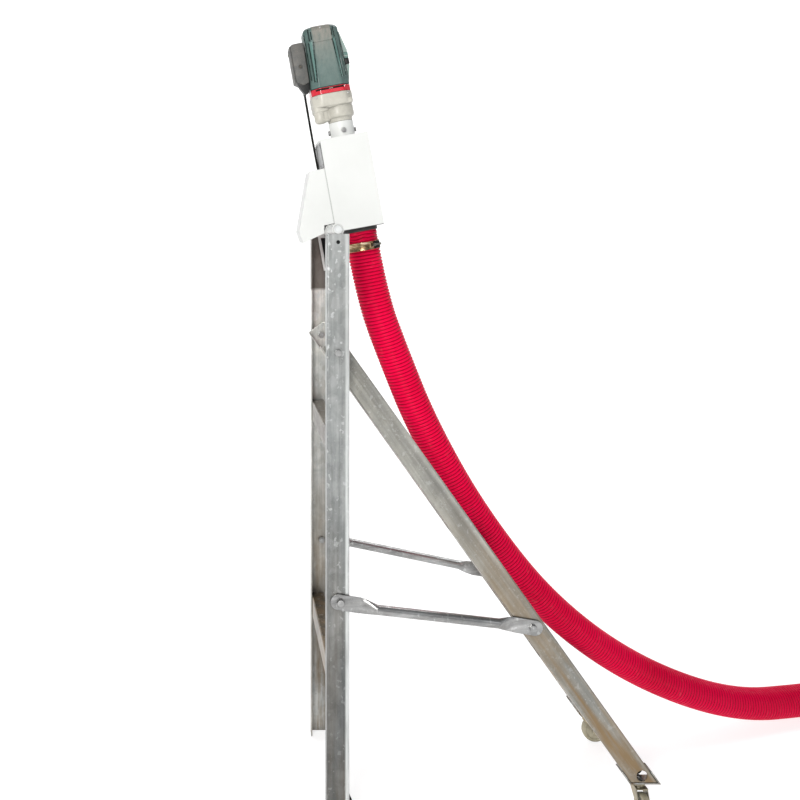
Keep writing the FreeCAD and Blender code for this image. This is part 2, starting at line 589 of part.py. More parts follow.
# fan, armature core and commutator on the armature shaft
blades = [box(36, 2.2, 8, V(mu, 0, 0) + V(0, 0, 411), Rotation(V(0, 0, 1), 360.0 / 9 * k)) for k in range(9)]
for b_ in blades:
    r_ = b_.Placement.Rotation
    b_.Placement = Placement(V(mu, 0, 411) + r_.multVec(V(9, -1.1, 0)), r_)
node(cut(fuse(cyl(46, 2.2, V(mu, 0, 409)), cyl(12, 11, V(mu, 0, 409)), *blades),
         cyl(6.01, 30, V(mu, 0, 400))), "cooling_fan", HEAD)
node(cut(tube(26, 6.01, 52, V(mu, 0, 432)),
         *[box(30, 3, 60, V(mu, 0, 428) + Rotation(V(0, 0, 1), 30 * k).multVec(V(19, -1.5, 0)),
               Rotation(V(0, 0, 1), 30 * k)) for k in range(12)]), "armature_core", HEAD)
node(tube(14, 6.01, 22, V(mu, 0, 496)), "commutator", HEAD)
node(tube(46, 26.7, 54, V(mu, 0, 431)), "stator", HEAD)


def loft_body(sections):
    """PartDesign loft through octagons given as (height, half x, half y, corner)."""
    body = doc.addObject("PartDesign::Body", fresh("body"))
    sks = []
    for z, hx, hy, c in sections:
        sk = body.newObject("Sketcher::SketchObject", fresh("sketch"))
        sk.AttachmentSupport = (origin_plane(body, "XY_Plane"), [""])
        sk.MapMode = "FlatFace"
        sk.AttachmentOffset = Placement(V(0, 0, z), Rotation())
        pts = [V(x, y, 0) for x, y in oct_pts(0, 0, hx, hy, c)]
        sk.addGeometry([Part.LineSegment(pts[i], pts[(i + 1) % 8]) for i in range(8)], False)
        for i in range(8):
            sk.addConstraint(Sketcher.Constraint("Coincident", i, 2, (i + 1) % 8, 1))
        sks.append(sk)
    lo = body.newObject("PartDesign::AdditiveLoft", fresh("loft"))
    lo.Profile = sks[0]
    lo.Sections = sks[1:]
    lo.Ruled = True
    return body


hous = loft_body([(424, 60, 56.5, 24), (600, 53, 51, 20)])
hous.Placement = Placement(V(mu, 0, 0), Rotation())
slots = [box(4, 12, 30, V(u_, y_, 566)) for u_ in (38.5, 115.5) for y_ in (-56, 44)]
ports = [cyl(11.2, 40, V(mu + 30, 0, 507), ALONG_X), cyl(11.2, 40, V(mu - 70, 0, 507), ALONG_X)]
node(cut(hous, cyl(46.5, 180, V(mu, 0, 423)), *(slots + ports)), "motor_housing", HEAD)
cap = loft_body([(600, 53, 51, 20), (613, 49, 47, 20), (621, 41, 39, 18)])
cap.Placement = Placement(V(mu, 0, 0), Rotation())
seat = cut(cap, cyl(44, 14, V(mu, 0, 599)))
node(fuse(seat, cut(cyl(17, 16, V(mu, 0, 602)), cyl(13, 8, V(mu, 0, 594)),
                    cyl(13, 6, V(mu, 0, 600)))), "motor_end_cap", HEAD)

# brushes ride on the commutator from both sides
bh_, bs_ = [], []
for s in (-1, 1):
    d0, d1 = (mu + 17, mu + 61) if s > 0 else (mu - 61, mu - 17)
    tube_ = cut(cyl(11, d1 - d0, V(d0, 0, 507), ALONG_X), box(80, 6.3, 12.3, V(d0 - 5, -3.15, 500.85)))
    bh_.append(tube_)
    xb = mu + 14.1 if s > 0 else mu - 14.1 - 26
    bs_.append(box(26, 6, 12, V(xb, -3, 501)))
node(group(*(bh_ + bs_)), "brush_gear", HEAD)
node(fuse(cone(20, 17, 9, V(mu + 61.1, 0, 507), ALONG_X), cyl(14, 3, V(mu + 70, 0, 507), ALONG_X)),
     "brush_cap", HEAD)

# terminal box with the switch, on the side away from the hose
tb_out = [(-20, 566), (-14, 571), (12, 572), (21.3, 570), (19.2, 450), (1, 443), (-20, 456)]
tb_in = [(-16, 564), (-12, 567), (12, 568), (30, 566), (30, 455), (1, 447.4), (-16, 458)]
node(cut(prism(tb_out, 74, V(0, 32, 0)), prism(tb_in, 68, V(0, 29, 0)),
         cyl(6.2, 20, V(3.2, 6, 436)), box(20.2, 8, 31.2, V(-8.1, 26, 494.4))), "terminal_box", HEAD)
node(prism([(-23, 565), (-20, 566), (-20, 456), (-23, 458)], 70, V(0, 30, 0)), "terminal_box_lid", HEAD)
screws = [bolt(1.9, 4, 3.9, 2, V(0.2, -42.0, 500), UP_Y),
          bolt(1.9, 6, 3.9, 2, V(-23, -24, 472), ALONG_X), bolt(1.9, 6, 3.9, 2, V(-23, 18, 550), ALONG_X)]
node(group(*screws), "terminal_screws", HEAD)
rk = fuse(box(15.2, 5.5, 29, V(-5.6, 29.5, 495.5)), prism([(-5.6, 496), (9.6, 496), (9.6, 524), (-5.6, 524)], 2,
                                                         V(0, 36.5, 0)))
node(rk, "rocker_switch", HEAD)

# cable gland under the terminal box
node(cut(fuse(cyl(6, 8, V(3.2, 6, 439)), cyl(8.5, 4, V(3.2, 6, 438.9)),
              cone(3.9, 6.0, 22, V(3.2, 6, 417))), cyl(3.5, 50, V(3.2, 6, 410))), "cable_gland", HEAD)


# ------------------------------------------------------- hose and its spiral
def head_point(u, y, v):
    t = math.radians(D("tilt"))
    return V(u * math.cos(t) - v * math.sin(t), y, D("cross_z") + u * math.sin(t) + v * math.cos(t))


HOSE = [head_point(ax, 0, -10), head_point(ax, 0, -220), V(201, 12, 1293), V(299, 31, 1058),
        V(468, 66, 767), V(711, 122, 463), V(1027, 198, 222), V(1390, 266, 70), V(1700, 345, 50.8),
        V(1955, 404, 50.6), V(2180, 424, 51.6), V(2360, 455, 51.9)]


def rounded_path(points, label):
    """Straight runs joined by tangent arcs, each as large as its runs allow."""
    edges, radii, here = [], [], points[0]
    for i in range(1, len(points) - 1):
        a, p, b = points[i - 1], points[i], points[i + 1]
        d0, d1 = (p - a).normalize(), (b - p).normalize()
        turn = math.acos(max(-1.0, min(1.0, d0.dot(d1))))
        run = min((p - a).Length, (b - p).Length)
        cutback = 0.45 * run
        radii.append((round(cutback / math.tan(turn / 2), 1), round(math.degrees(turn), 1)))
        q0, q1 = p - d0 * cutback, p + d1 * cutback
        bis = (d1 - d0).normalize()
        rad = cutback / math.tan(turn / 2)
        centre = p + bis * (rad / math.cos(turn / 2))
        mid = centre - bis * rad
        edges.append(Part.LineSegment(here, q0).toShape())
        edges.append(Part.Arc(q0, mid, q1).toShape())
        here = q1
    edges.append(Part.LineSegment(here, points[-1]).toShape())
    print(label, "radii and turns", radii)
    return Part.Wire(edges)


def sweep_tube(points, rad, bore, label):
    path = rounded_path(points, label)
    d = (points[1] - points[0]).normalize()
    solids = []
    for r in (rad, bore):
        if r:
            prof = Part.Wire([Part.Circle(points[0], d, r).toShape()])
            solids.append(path.makePipeShell([prof], True, True))
    shape = solids[0].cut(solids[1]) if bore else solids[0]
    want = math.pi * (rad ** 2 - (bore or 0) ** 2) * path.Length
    print(label, "length", round(path.Length, 1), "volume ratio", round(shape.Volume / want, 5))
    return shape


hose = doc.addObject("Part::Feature", "hose_solid")
hose.Shape = sweep_tube(HOSE, D("hose_rad"), D("hose_bore"), "suction_hose")
node(hose, "suction_hose")

# the spiral turns in the hose; its envelope follows the same line
def trim_route(points, start, end):
    pts = list(points)
    d = (pts[1] - pts[0]).normalize()
    pts[0] = pts[0] + d * start
    d = (pts[-1] - pts[-2]).normalize()
    pts[-1] = pts[-1] - d * end
    return pts


flex = doc.addObject("Part::Feature", "flex_solid")
flex.Shape = sweep_tube(trim_route(HOSE, 6, 2), D("flex_rad"), D("flex_rad") - D("flex_wall"), "flexible_auger")
node(flex, "flexible_auger")

# intake end, along the last run
fwd = (HOSE[-1] - HOSE[-2]).normalize()
up = V(0, 0, 1)
side = fwd.cross(up).normalize()
upp = side.cross(fwd).normalize()
INTAKE = Placement(ORIGIN + HOSE[-1], Rotation(upp, side, fwd, "XYZ"))
print("intake origin", HOSE[-1], "axis", fwd, "x", upp, "y", side)
node(cut(fuse(cyl("dims.spigot_rad", 70, V(0, 0, -70)), cyl(49, 5, V(0, 0, 0.1))),
         cyl("dims.spigot_bore", 90, V(0, 0, -75))), "intake_collar", INTAKE)
ring2, screw2 = band(-42, V(), 0)
node(group(ring2, screw2), "intake_clamp", INTAKE)
bars = [cyl(4, 142, V(44.5 * math.cos(math.radians(45 + 90 * k)), 44.5 * math.sin(math.radians(45 + 90 * k)), 5.1))
        for k in range(4)]
spider = [box(86, 8, 6, V(-43, -4, 141.1), FLAT), box(8, 86, 6, V(-4, -43, 141.1), FLAT)]
cage = cut(fuse(tube(48.6, 40.4, 6, V(0, 0, 141.1)), tube(48.6, "dims.spigot_bore", 4, V(0, 0, 5.1)),
                cyl(14, 6, V(0, 0, 141.1)), *(bars + spider)), cyl(8.06, 30, V(0, 0, 130)))
node(cage, "intake_cage", INTAKE)
tip_h = helix(33, 60, 120, 3.5, V(0, 0, 10))
tip = doc.addObject("Part::Feature", "tip_solid")
tip.Shape = Part.makeCylinder(8, 150, V(0, 0, 4)).multiFuse(
    [tip_h] + [Part.makeCylinder(3.4, 33, V(0, 0, 10 + 60 * n), V(math.cos(2 * math.pi * n), math.sin(2 * math.pi * n), 0))
               for n in (0.2, 1.0, 1.8)])
node(tip, "intake_tip_auger", INTAKE)

# --------------------------------------------------------------- power cable
gl = head_point(3.2, 6, 416.2)
CABLE = [gl, V(-26.3, 81, 1866), V(25, 89, 1668), V(30, 86, 1563), V(33, 80, 1462), V(31, 73, 1360),
         V(36, 68, 1258), V(33, 63, 1157), V(37, 56, 1056), V(34, 52, 954), V(39, 45, 853), V(36, 41, 751),
         V(41, 34, 650), V(38, 29, 548), V(43, 22, 447), V(40, 16, 346), V(44, 8, 245), V(42, 1, 150),
         V(43, -12, 72), V(45, -42, 22), V(48, -92, 3.6), V(58, -146, 3.7), V(78, -186, 3.6), V(110, -205, 3.6),
         V(140, -211, 3.6)]
cable = doc.addObject("Part::Feature", "cable_solid")
cable.Shape = sweep_tube(CABLE, D("cable_rad"), 0, "power_cable")
node(cable, "power_cable")

# put-away turns: one ring of the turns' outer shape, lying on the floor
cm, chf = D("coil_mid"), D("coil_half")
end = CABLE[-1]
tang = (CABLE[-1] - CABLE[-2]).normalize()
left = V(tang.y, -tang.x, 0)                       # towards -Y
COIL_C = V(end.x, end.y, 0) + left * cm + V(tang.x, tang.y, 0) * 3.6
coil = tube("dims.coil_mid + dims.coil_half", "dims.coil_mid - dims.coil_half", "2 * dims.coil_half",
            V(COIL_C.x, COIL_C.y, 0.1))
node(coil, "power_cable_coil")
print("coil centre", COIL_C)

plug_f = Placement(ORIGIN + V(COIL_C.x + 82, COIL_C.y - 10, 0.1), Rotation(V(0, 0, 1), -62))
pbody = prism([(-22, 0), (20, 0), (22, 3), (22, 19), (20, 22), (-6, 22), (-22, 16)], 24, V(0, 12, 0))
tail = cone(3.9, 7.5, 22, V(-44, 0, 9.5), ALONG_X)
pins = [box(18, 1.6, 6.4, V(22, y_ - 0.8, 8.0)) for y_ in (-6.35, 6.35)]
node(fuse(pbody, tail, *pins), "power_plug", plug_f)

# ------------------------------------------------------------ check and write
doc.recompute()
bad = []
for obj in doc.Objects:
    if "Invalid" in obj.State or "Error" in obj.State:
        bad.append((obj.Name, obj.Label, obj.State))
lo, hi = V(1e9, 1e9, 1e9), V(-1e9, -1e9, -1e9)
CORD = {"suction_hose", "flexible_auger", "intake_collar", "intake_clamp", "intake_cage", "intake_tip_auger",
        "power_cable", "power_cable_coil", "power_plug", "cable_gland"}
for label, obj in nodes:
    shape = obj.Shape
    if shape.isNull() or not shape.isValid() or not shape.Solids:
        bad.append((label, "null or not valid"))
        continue
    if label not in CORD:
        b = shape.BoundBox
        lo = V(min(lo.x, b.XMin), min(lo.y, b.YMin), min(lo.z, b.ZMin))
        hi = V(max(hi.x, b.XMax), max(hi.y, b.YMax), max(hi.z, b.ZMax))
if bad:
    raise RuntimeError("failed objects: %r" % bad)
labels = [label for label, obj in nodes]
if len(set(labels)) != len(labels):
    raise RuntimeError("a label is used twice")
print("nodes", len(nodes), "box", lo, hi, "middle x", (lo.x + hi.x) / 2, "middle y", (lo.y + hi.y) / 2)

os.makedirs("parts", exist_ok=True)
for label, obj in nodes:
    obj.Shape.exportStep("parts/%s.step" % label)
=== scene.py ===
import math

import bmesh
import bpy
from mathutils import Matrix, Vector, noise


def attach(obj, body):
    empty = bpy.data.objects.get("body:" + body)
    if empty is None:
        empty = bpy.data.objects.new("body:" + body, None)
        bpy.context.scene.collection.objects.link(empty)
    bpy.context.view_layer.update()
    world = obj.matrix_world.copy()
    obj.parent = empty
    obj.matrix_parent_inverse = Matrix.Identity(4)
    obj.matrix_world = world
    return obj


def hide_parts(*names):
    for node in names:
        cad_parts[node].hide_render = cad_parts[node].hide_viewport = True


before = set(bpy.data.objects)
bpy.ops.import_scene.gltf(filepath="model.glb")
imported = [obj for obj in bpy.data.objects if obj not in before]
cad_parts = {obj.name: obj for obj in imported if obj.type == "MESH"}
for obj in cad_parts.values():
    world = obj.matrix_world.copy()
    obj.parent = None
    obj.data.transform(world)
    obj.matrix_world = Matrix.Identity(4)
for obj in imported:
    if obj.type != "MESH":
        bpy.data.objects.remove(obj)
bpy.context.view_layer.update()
scene = bpy.context.scene
col = scene.collection

SH = 0.4062
TILT = math.radians(10.2)
HEAD = Matrix.Translation((-SH, 0, 1.6735)) @ Matrix.Rotation(-TILT, 4, "Y") @ Matrix.Scale(0.001, 4)
MM = Matrix.Translation((-SH, 0, 0)) @ Matrix.Scale(0.001, 4)


def head(u, y, v):
    return HEAD @ Vector((u, y, v))


def stand(x, y, z):
    return MM @ Vector((x, y, z))


# ------------------------------------------------------------------- camera
cam_data = bpy.data.cameras.new("camera")
cam = bpy.data.objects.new("camera", cam_data)
col.objects.link(cam)
cam.location = (-0.7070, -2.6815, 1.655)
cam.rotation_euler = (math.radians(90), 0, 0)
cam_data.sensor_width = 36
cam_data.lens = 874.8 / 800 * 36
cam_data.shift_x = 0.2125
cam_data.shift_y = -0.205
cam_data.clip_start = 0.05
cam_data.clip_end = 60
scene.camera = cam
scene.render.resolution_x = 800
scene.render.resolution_y = 800


# ---------------------------------------------------------------- materials
class Mat:
    def __init__(self, name):
        self.m = bpy.data.materials.new(name)
        self.m.use_nodes = True
        self.nt = self.m.node_tree
        self.nt.nodes.clear()
        self.out = self.n("ShaderNodeOutputMaterial")
        self.b = self.n("ShaderNodeBsdfPrincipled")
        self.link(self.b.outputs["BSDF"], self.out.inputs["Surface"])
        self.obj = self.n("ShaderNodeTexCoord").outputs["Object"]

    def n(self, kind, **kw):
        nd = self.nt.nodes.new(kind)
        for k, v in kw.items():
            setattr(nd, k, v)
        return nd

    def link(self, a, b):
        self.nt.links.new(a, b)

    def put(self, socket, value):
        if hasattr(value, "links"):
            self.link(value, socket)
        else:
            socket.default_value = value

    def mapped(self, scale, rot=(0, 0, 0)):
        mp = self.n("ShaderNodeMapping")
        mp.vector_type = "TEXTURE"
        mp.inputs["Scale"].default_value = tuple(1 / a for a in scale)
        mp.inputs["Rotation"].default_value = rot
        self.link(self.obj, mp.inputs["Vector"])
        return mp.outputs["Vector"]

    def noise(self, scale, detail=4.0, rough=0.55, vec=None, dist=0.0):
        nz = self.n("ShaderNodeTexNoise")
        self.link(vec or self.obj, nz.inputs["Vector"])
        nz.inputs["Scale"].default_value = scale
        nz.inputs["Detail"].default_value = detail
        nz.inputs["Roughness"].default_value = rough
        nz.inputs["Distortion"].default_value = dist
        return nz.outputs["Fac"]

    def voronoi(self, scale, vec=None):
        vo = self.n("ShaderNodeTexVoronoi")
        self.link(vec or self.obj, vo.inputs["Vector"])
        vo.inputs["Scale"].default_value = scale
        return vo.outputs

    def span(self, fac, a, b, c=0.0, d=1.0):
        mr = self.n("ShaderNodeMapRange")
        self.link(fac, mr.inputs["Value"])
        for k, v in zip(("From Min", "From Max", "To Min", "To Max"), (a, b, c, d)):
            mr.inputs[k].default_value = v
        return mr.outputs["Result"]

    def ramp(self, fac, *stops):
        cr = self.n("ShaderNodeValToRGB")
        self.link(fac, cr.inputs["Fac"])
        el = cr.color_ramp.elements
        while len(el) < len(stops):
            el.new(0.5)
        for e, (p, c) in zip(el, stops):
            e.position = p
            e.color = (*c, 1.0)
        return cr.outputs["Color"]

    def mix(self, fac, a, b, mode="MIX"):
        mx = self.n("ShaderNodeMix", data_type="RGBA", blend_type=mode)
        self.put(mx.inputs[0], fac)
        self.put(mx.inputs[6], a if hasattr(a, "links") else (*a, 1.0))
        self.put(mx.inputs[7], b if hasattr(b, "links") else (*b, 1.0))
        return mx.outputs[2]

    def calc(self, op, a, b=0.5):
        ma = self.n("ShaderNodeMath", operation=op)
        self.put(ma.inputs[0], a)
        self.put(ma.inputs[1], b)
        return ma.outputs[0]

    def finish(self, colour, rough, metal=0.0, bump=None, edge=None, **sockets):
        self.put(self.b.inputs["Base Color"], colour if hasattr(colour, "links") else (*colour, 1.0))
        self.put(self.b.inputs["Roughness"], rough)
        self.put(self.b.inputs["Metallic"], metal)
        for k, v in sockets.items():
            self.b.inputs[k.replace("_", " ")].default_value = v
        normal = None
        if edge:
            be = self.n("ShaderNodeBevel", samples=4)
            be.inputs["Radius"].default_value = edge
            normal = be.outputs["Normal"]
        if bump:
            h, strength, dist = bump
            bu = self.n("ShaderNodeBump")
            bu.inputs["Strength"].default_value = strength
            bu.inputs["Distance"].default_value = dist
            self.link(h, bu.inputs["Height"])
            if normal is not None:
                self.link(normal, bu.inputs["Normal"])
            normal = bu.outputs["Normal"]
        if normal is not None:
            self.link(normal, self.b.inputs["Normal"])
        return self.m


def galvanised(name, lift=1.0, ground_reflect_amount=0.6, shade_fall=(0.30, 1.65, 0.42, 1.0), along=(70, 70, 2.2), tint=(1.0, 1.0, 1.0), edge=0.0012, grain=1.0, lean=0.0, highlight_strip=None, shadow_top_z=None):
    k = Mat(name)
    spangle = k.voronoi(62, k.mapped((1, 1, 0.6)))["Color"]
    sp = k.n("ShaderNodeSeparateColor")
    k.link(spangle, sp.inputs["Color"])
    streak = k.noise(1.0, 7, 0.62, k.mapped(along, (0, math.radians(-lean), 0)), 0.4)
    cloud = k.noise(9.0, 5, 0.6)
    tone = k.calc("ADD", k.calc("MULTIPLY", streak, 0.62), k.calc("MULTIPLY", cloud, 0.38))
    c = k.ramp(tone, (0.30, tuple(0.235 * lift * t for t in tint)), (0.47, tuple(0.37 * lift * t for t in tint)),
               (0.56, tuple(0.50 * lift * t for t in tint)), (0.70, tuple(0.70 * lift * t for t in tint)))
    c = k.mix(k.span(sp.outputs[0], 0, 1, 0.0, 0.22 * grain), c, (0.74 * lift, 0.76 * lift, 0.77 * lift))
    specks = k.span(k.noise(210, 3, 0.7), 0.60, 0.70)
    c = k.mix(k.calc("MULTIPLY", specks, 0.34), c, (0.86, 0.88, 0.88))
    spots = k.span(k.noise(74, 2, 0.5, k.mapped((1, 1, 0.8))), 0.635, 0.665)
    c = k.mix(k.calc("MULTIPLY", spots, 0.55 * grain), c, (0.90, 0.92, 0.92))
    blot = k.span(k.noise(27, 4, 0.6, k.mapped((1, 1, 0.7)), 0.8), 0.40, 0.62, 0.0, 0.34 * grain)
    c = k.mix(blot, c, (0.20 * lift, 0.225 * lift, 0.225 * lift))
    grime = k.span(k.noise(95, 5, 0.75), 0.60, 0.74)
    c = k.mix(k.calc("MULTIPLY", grime, 0.42), c, (0.13, 0.125, 0.11))
    xyz = k.n("ShaderNodeSeparateXYZ")
    k.link(k.obj, xyz.inputs["Vector"])
    # painted reflection: the lower part of the steel is mixed towards brown, standing in for the brown ground
    # reflected in it
    low = k.span(xyz.outputs["Z"], 0.95, 0.15)
    ground_reflection = k.calc("MULTIPLY", k.calc("MULTIPLY", low, k.span(k.noise(1.0, 5, 0.6, k.mapped((26, 26, 3.0), (0, math.radians(-lean), 0))), 0.36, 0.66)), ground_reflect_amount)
    c = k.mix(ground_reflection, c, (0.33, 0.235, 0.135))
    # random tone multiplied by painted shade: the steel gets darker towards the bottom
    tone_and_height_shade = k.calc("MULTIPLY", k.span(k.noise(1.0, 3, 0.5, k.mapped((7, 7, 1.6))), 0.3, 0.7, 0.86, 1.14),
                  k.span(xyz.outputs["Z"], *shade_fall))
    tone_and_shade_rgb = k.n("ShaderNodeCombineColor")
    for i_ in range(3):
        k.link(tone_and_height_shade, tone_and_shade_rgb.inputs[i_])
    c = k.mix(1.0, c, tone_and_shade_rgb.outputs[0], "MULTIPLY")
    # painted highlight: a lighter band along the bent edge of the channel
    if highlight_strip:
        edge_highlight = k.calc("MULTIPLY", k.span(xyz.outputs["X"], *highlight_strip), k.span(k.noise(1.0, 4, 0.6, k.mapped((60, 60, 5))), 0.3, 0.6, 0.35, 0.8))
        c = k.mix(edge_highlight, c, (0.86, 0.89, 0.88))
    # painted shade: ambient occlusion darkens creases, corners and gaps between parts
    ao = k.n("ShaderNodeAmbientOcclusion", samples=6)
    ao.inputs["Distance"].default_value = 0.03
    # painted shadow: the far leg's inner face is dark above the given height, where the head's shadow falls on it
    if shadow_top_z:
        inside = k.span(xyz.outputs["Y"], 0.2496, 0.2504, 1.0, 0.0)
        c = k.mix(k.calc("MULTIPLY", inside, k.span(xyz.outputs["Z"], shadow_top_z - 0.006, shadow_top_z + 0.004, 0.0, 0.86)), c, (0.085, 0.070, 0.056))
    c = k.mix(k.span(ao.outputs["AO"], 0.25, 0.9, 0.6, 0.0), c, (0.03, 0.027, 0.022))
    r = k.span(tone, 0.3, 0.7, 0.42, 0.26)
    scr = k.noise(1.0, 6, 0.7, k.mapped((420, 420, 14), (0, math.radians(-lean), 0)))
    return k.finish(c, r, 0.86, (scr, 0.10, 0.0006), edge, Specular_IOR_Level=0.6)


def painted(name, base, worn, rough=0.36, amount=0.25, scale=16, edge=0.0014, peel=0.10, coat=0.0, metal=0.0,
            dust=(0.6, 0.55, 0.48), dust_amount=0.12, spec=0.35, panel=None, crease_shade_dist=0.016):
    k = Mat(name)
    big = k.noise(scale, 6, 0.6)
    fine = k.noise(scale * 9, 4, 0.65)
    c = k.mix(k.calc("MULTIPLY", k.span(big, 0.42, 0.68), amount), base, worn)
    c = k.mix(k.calc("MULTIPLY", k.span(fine, 0.56, 0.74), dust_amount), c, dust)
    r = k.span(big, 0.3, 0.7, rough + 0.10, rough - 0.06)
    if panel:
        c = panel(k, c)
    # painted shade: ambient occlusion darkens creases and recesses
    ao = k.n("ShaderNodeAmbientOcclusion", samples=6)
    ao.inputs["Distance"].default_value = crease_shade_dist
    c = k.mix(k.span(ao.outputs["AO"], 0.25, 0.95, 0.62, 0.0), c, (0.012, 0.012, 0.010))
    return k.finish(c, r, metal, (k.noise(scale * 22, 3, 0.5), peel, 0.0005), edge, Coat_Weight=coat,
                    Coat_Roughness=0.12, Specular_IOR_Level=spec)


def dot(k, axis, origin):
    """Distance of the shaded point along an axis of the head, millimetres."""
    sub = k.n("ShaderNodeVectorMath", operation="SUBTRACT")
    k.link(k.obj, sub.inputs[0])
    sub.inputs[1].default_value = origin
    dp = k.n("ShaderNodeVectorMath", operation="DOT_PRODUCT")
    k.link(sub.outputs["Vector"], dp.inputs[0])
    dp.inputs[1].default_value = tuple(1000 * a for a in axis)
    return dp.outputs["Value"]


def dusty_panel(k, c):
    """Settled grey dust on the middle of the motor's face, fading downwards."""
    org = tuple(HEAD @ Vector((0, 0, 0)))
    u = dot(k, (math.cos(TILT), 0, math.sin(TILT)), org)
    v = dot(k, (-math.sin(TILT), 0, math.cos(TILT)), org)
    off = k.calc("ABSOLUTE", k.calc("SUBTRACT", u, 79.5))
    side = k.span(off, 31.0, 25.5)
    down = k.span(v, 428, 600, 0.28, 1.0)
    rough_ = k.span(k.noise(1.0, 6, 0.65, k.mapped((120, 120, 40))), 0.30, 0.60, 0.45, 1.0)
    mask = k.calc("MULTIPLY", k.calc("MULTIPLY", side, down), rough_)
    warm = k.mix(k.span(v, 480, 610), (0.185, 0.235, 0.220), (0.300, 0.265, 0.230))
    spots = k.span(k.noise(330, 4, 0.7), 0.55, 0.72)
    warm = k.mix(k.calc("MULTIPLY", spots, 0.5), warm, (0.44, 0.40, 0.36))
    return k.mix(k.calc("MULTIPLY", mask, 0.92), c, warm)


M = {}
M["legs"] = galvanised("galvanised_leg", 1.0, 0.45, (0.35, 1.5, 0.42, 1.12), tint=(0.97, 1.0, 0.985), highlight_strip=(-SH + 0.0175, -SH + 0.0225))
# a brighter copy of the galvanised finish for the far legs: painted light on their lit inner faces; the caster
# brackets share it
M["inner"] = galvanised("galvanised_far", 1.95, 1.3, (0.25, 1.5, 0.46, 1.0), tint=(1.0, 0.985, 0.92), shadow_top_z=1.478)
M["rear"] = galvanised("galvanised_rear", 0.88, 1.8, (0.1, 1.3, 0.72, 1.0), along=(60, 60, 1.6), tint=(1.0, 0.975, 0.88), grain=0.35, lean=35.5)
M["rod"] = galvanised("galvanised_rod", 0.78, 0.1, (0.0, 1.0, 1.0, 1.0), along=(60, 60, 4), grain=0.5, lean=-83.0)
# a darker, browner copy of the galvanised finish for the front rungs: painted shade
M["rung"] = galvanised("galvanised_rung", 0.36, 1.0, (0.2, 1.4, 0.8, 1.0), along=(60, 5, 60), tint=(0.86, 0.68, 0.50), grain=0.5)
M["yellow_zinc"] = galvanised("yellow_zinc", 0.95, 0.3, (0.0, 1.0, 1.0, 1.0), along=(30, 30, 30), tint=(1.0, 0.88, 0.60), edge=0.0006, grain=0.3)
M["zinc"] = galvanised("bright_zinc", 1.05, 0.1, (0.0, 1.0, 0.9, 1.0), along=(30, 30, 30), edge=0.0005, grain=0.3)
M["cage"] = galvanised("galvanised_wire", 0.95, 0.2, (0.0, 1.0, 1.0, 1.0), along=(30, 30, 30), edge=0.0004)
M["dark_zinc"] = galvanised("dark_screw_zinc", 0.26, 0.0, (0.0, 1.0, 1.0, 1.0), along=(30, 30, 30), tint=(1.0, 0.9, 0.72), edge=0.0005, grain=0.3)
# painted shadow under the discharge box
M["dark_plate"] = painted("painted_box_shadow", (0.030, 0.028, 0.028), (0.07, 0.06, 0.06), 0.5, 0.6, 30, None, 0.2)
M["cap_grey"] = painted("tube_cap_paint", (0.66, 0.68, 0.68), (0.52, 0.54, 0.55), 0.4, 0.6, 40, 0.0006, 0.2)
M["plate"] = galvanised("galvanised_plate", 0.62, 0.0, (0.0, 1.0, 1.0, 1.0), along=(60, 60, 6), grain=1.4)
M["white"] = painted("white_powder_coat", (0.725, 0.738, 0.724), (0.67, 0.685, 0.67), 0.40, 0.5, 7, 0.0016, 0.12, 0.10, crease_shade_dist=0.005,
                     dust_amount=0.03)
M["cream"] = painted("cream_casting_paint", (0.53, 0.515, 0.455), (0.40, 0.385, 0.335), 0.42, 0.6, 24, 0.0012, 0.35, 0.1, crease_shade_dist=0.045,
                     dust=(0.72, 0.70, 0.64), dust_amount=0.3)
M["teal"] = painted("green_motor_paint", (0.078, 0.128, 0.118), (0.120, 0.185, 0.172), 0.44, 0.7, 34, 0.001, 0.3, 0.1,
                    dust=(0.30, 0.30, 0.28), dust_amount=0.22, panel=dusty_panel)
# darker motor green for the bottoms of the cut grooves: painted shade in the recesses
M["teal_dark"] = painted("green_motor_recess", (0.012, 0.036, 0.031), (0.022, 0.055, 0.048), 0.5, 0.4, 40, None, 0.2,
                         dust=(0.1, 0.12, 0.11), dust_amount=0.2)
M["teal_light"] = painted("green_motor_rib", (0.120, 0.225, 0.205), (0.17, 0.28, 0.26), 0.36, 0.5, 40, None, 0.2, 0.2,
                          dust=(0.42, 0.44, 0.42), dust_amount=0.2)
M["gusset"] = painted("green_gusset", (0.26, 0.36, 0.33), (0.38, 0.44, 0.41), 0.5, 0.7, 40, None, 0.2, 0.0,
                      dust=(0.5, 0.5, 0.48), dust_amount=0.3)
M["dusty"] = painted("dusty_name_panel", (0.225, 0.245, 0.235), (0.33, 0.315, 0.285), 0.55, 0.8, 45, None, 0.5, 0.0,
                     dust=(0.46, 0.39, 0.34), dust_amount=0.55)
M["grey"] = painted("grey_terminal_plastic", (0.088, 0.091, 0.087), (0.150, 0.140, 0.126), 0.5, 0.6, 40, 0.001, 0.3,
                    dust=(0.40, 0.36, 0.32), dust_amount=0.35)
M["black"] = painted("black_moulding", (0.012, 0.013, 0.013), (0.03, 0.032, 0.03), 0.42, 0.5, 60, 0.0006, 0.25,
                     dust=(0.10, 0.10, 0.09), dust_amount=0.25)
M["void"] = painted("slot_shadow", (0.004, 0.005, 0.005), (0.008, 0.009, 0.008), 0.8, 0.4, 60, None, 0.1,
                    dust=(0.02, 0.02, 0.02), dust_amount=0.1)
M["rubber"] = painted("black_cable_rubber", (0.007, 0.007, 0.008), (0.014, 0.014, 0.013), 0.55, 0.5, 50, None, 0.15,
                      dust=(0.04, 0.038, 0.035), dust_amount=0.15, spec=0.15)
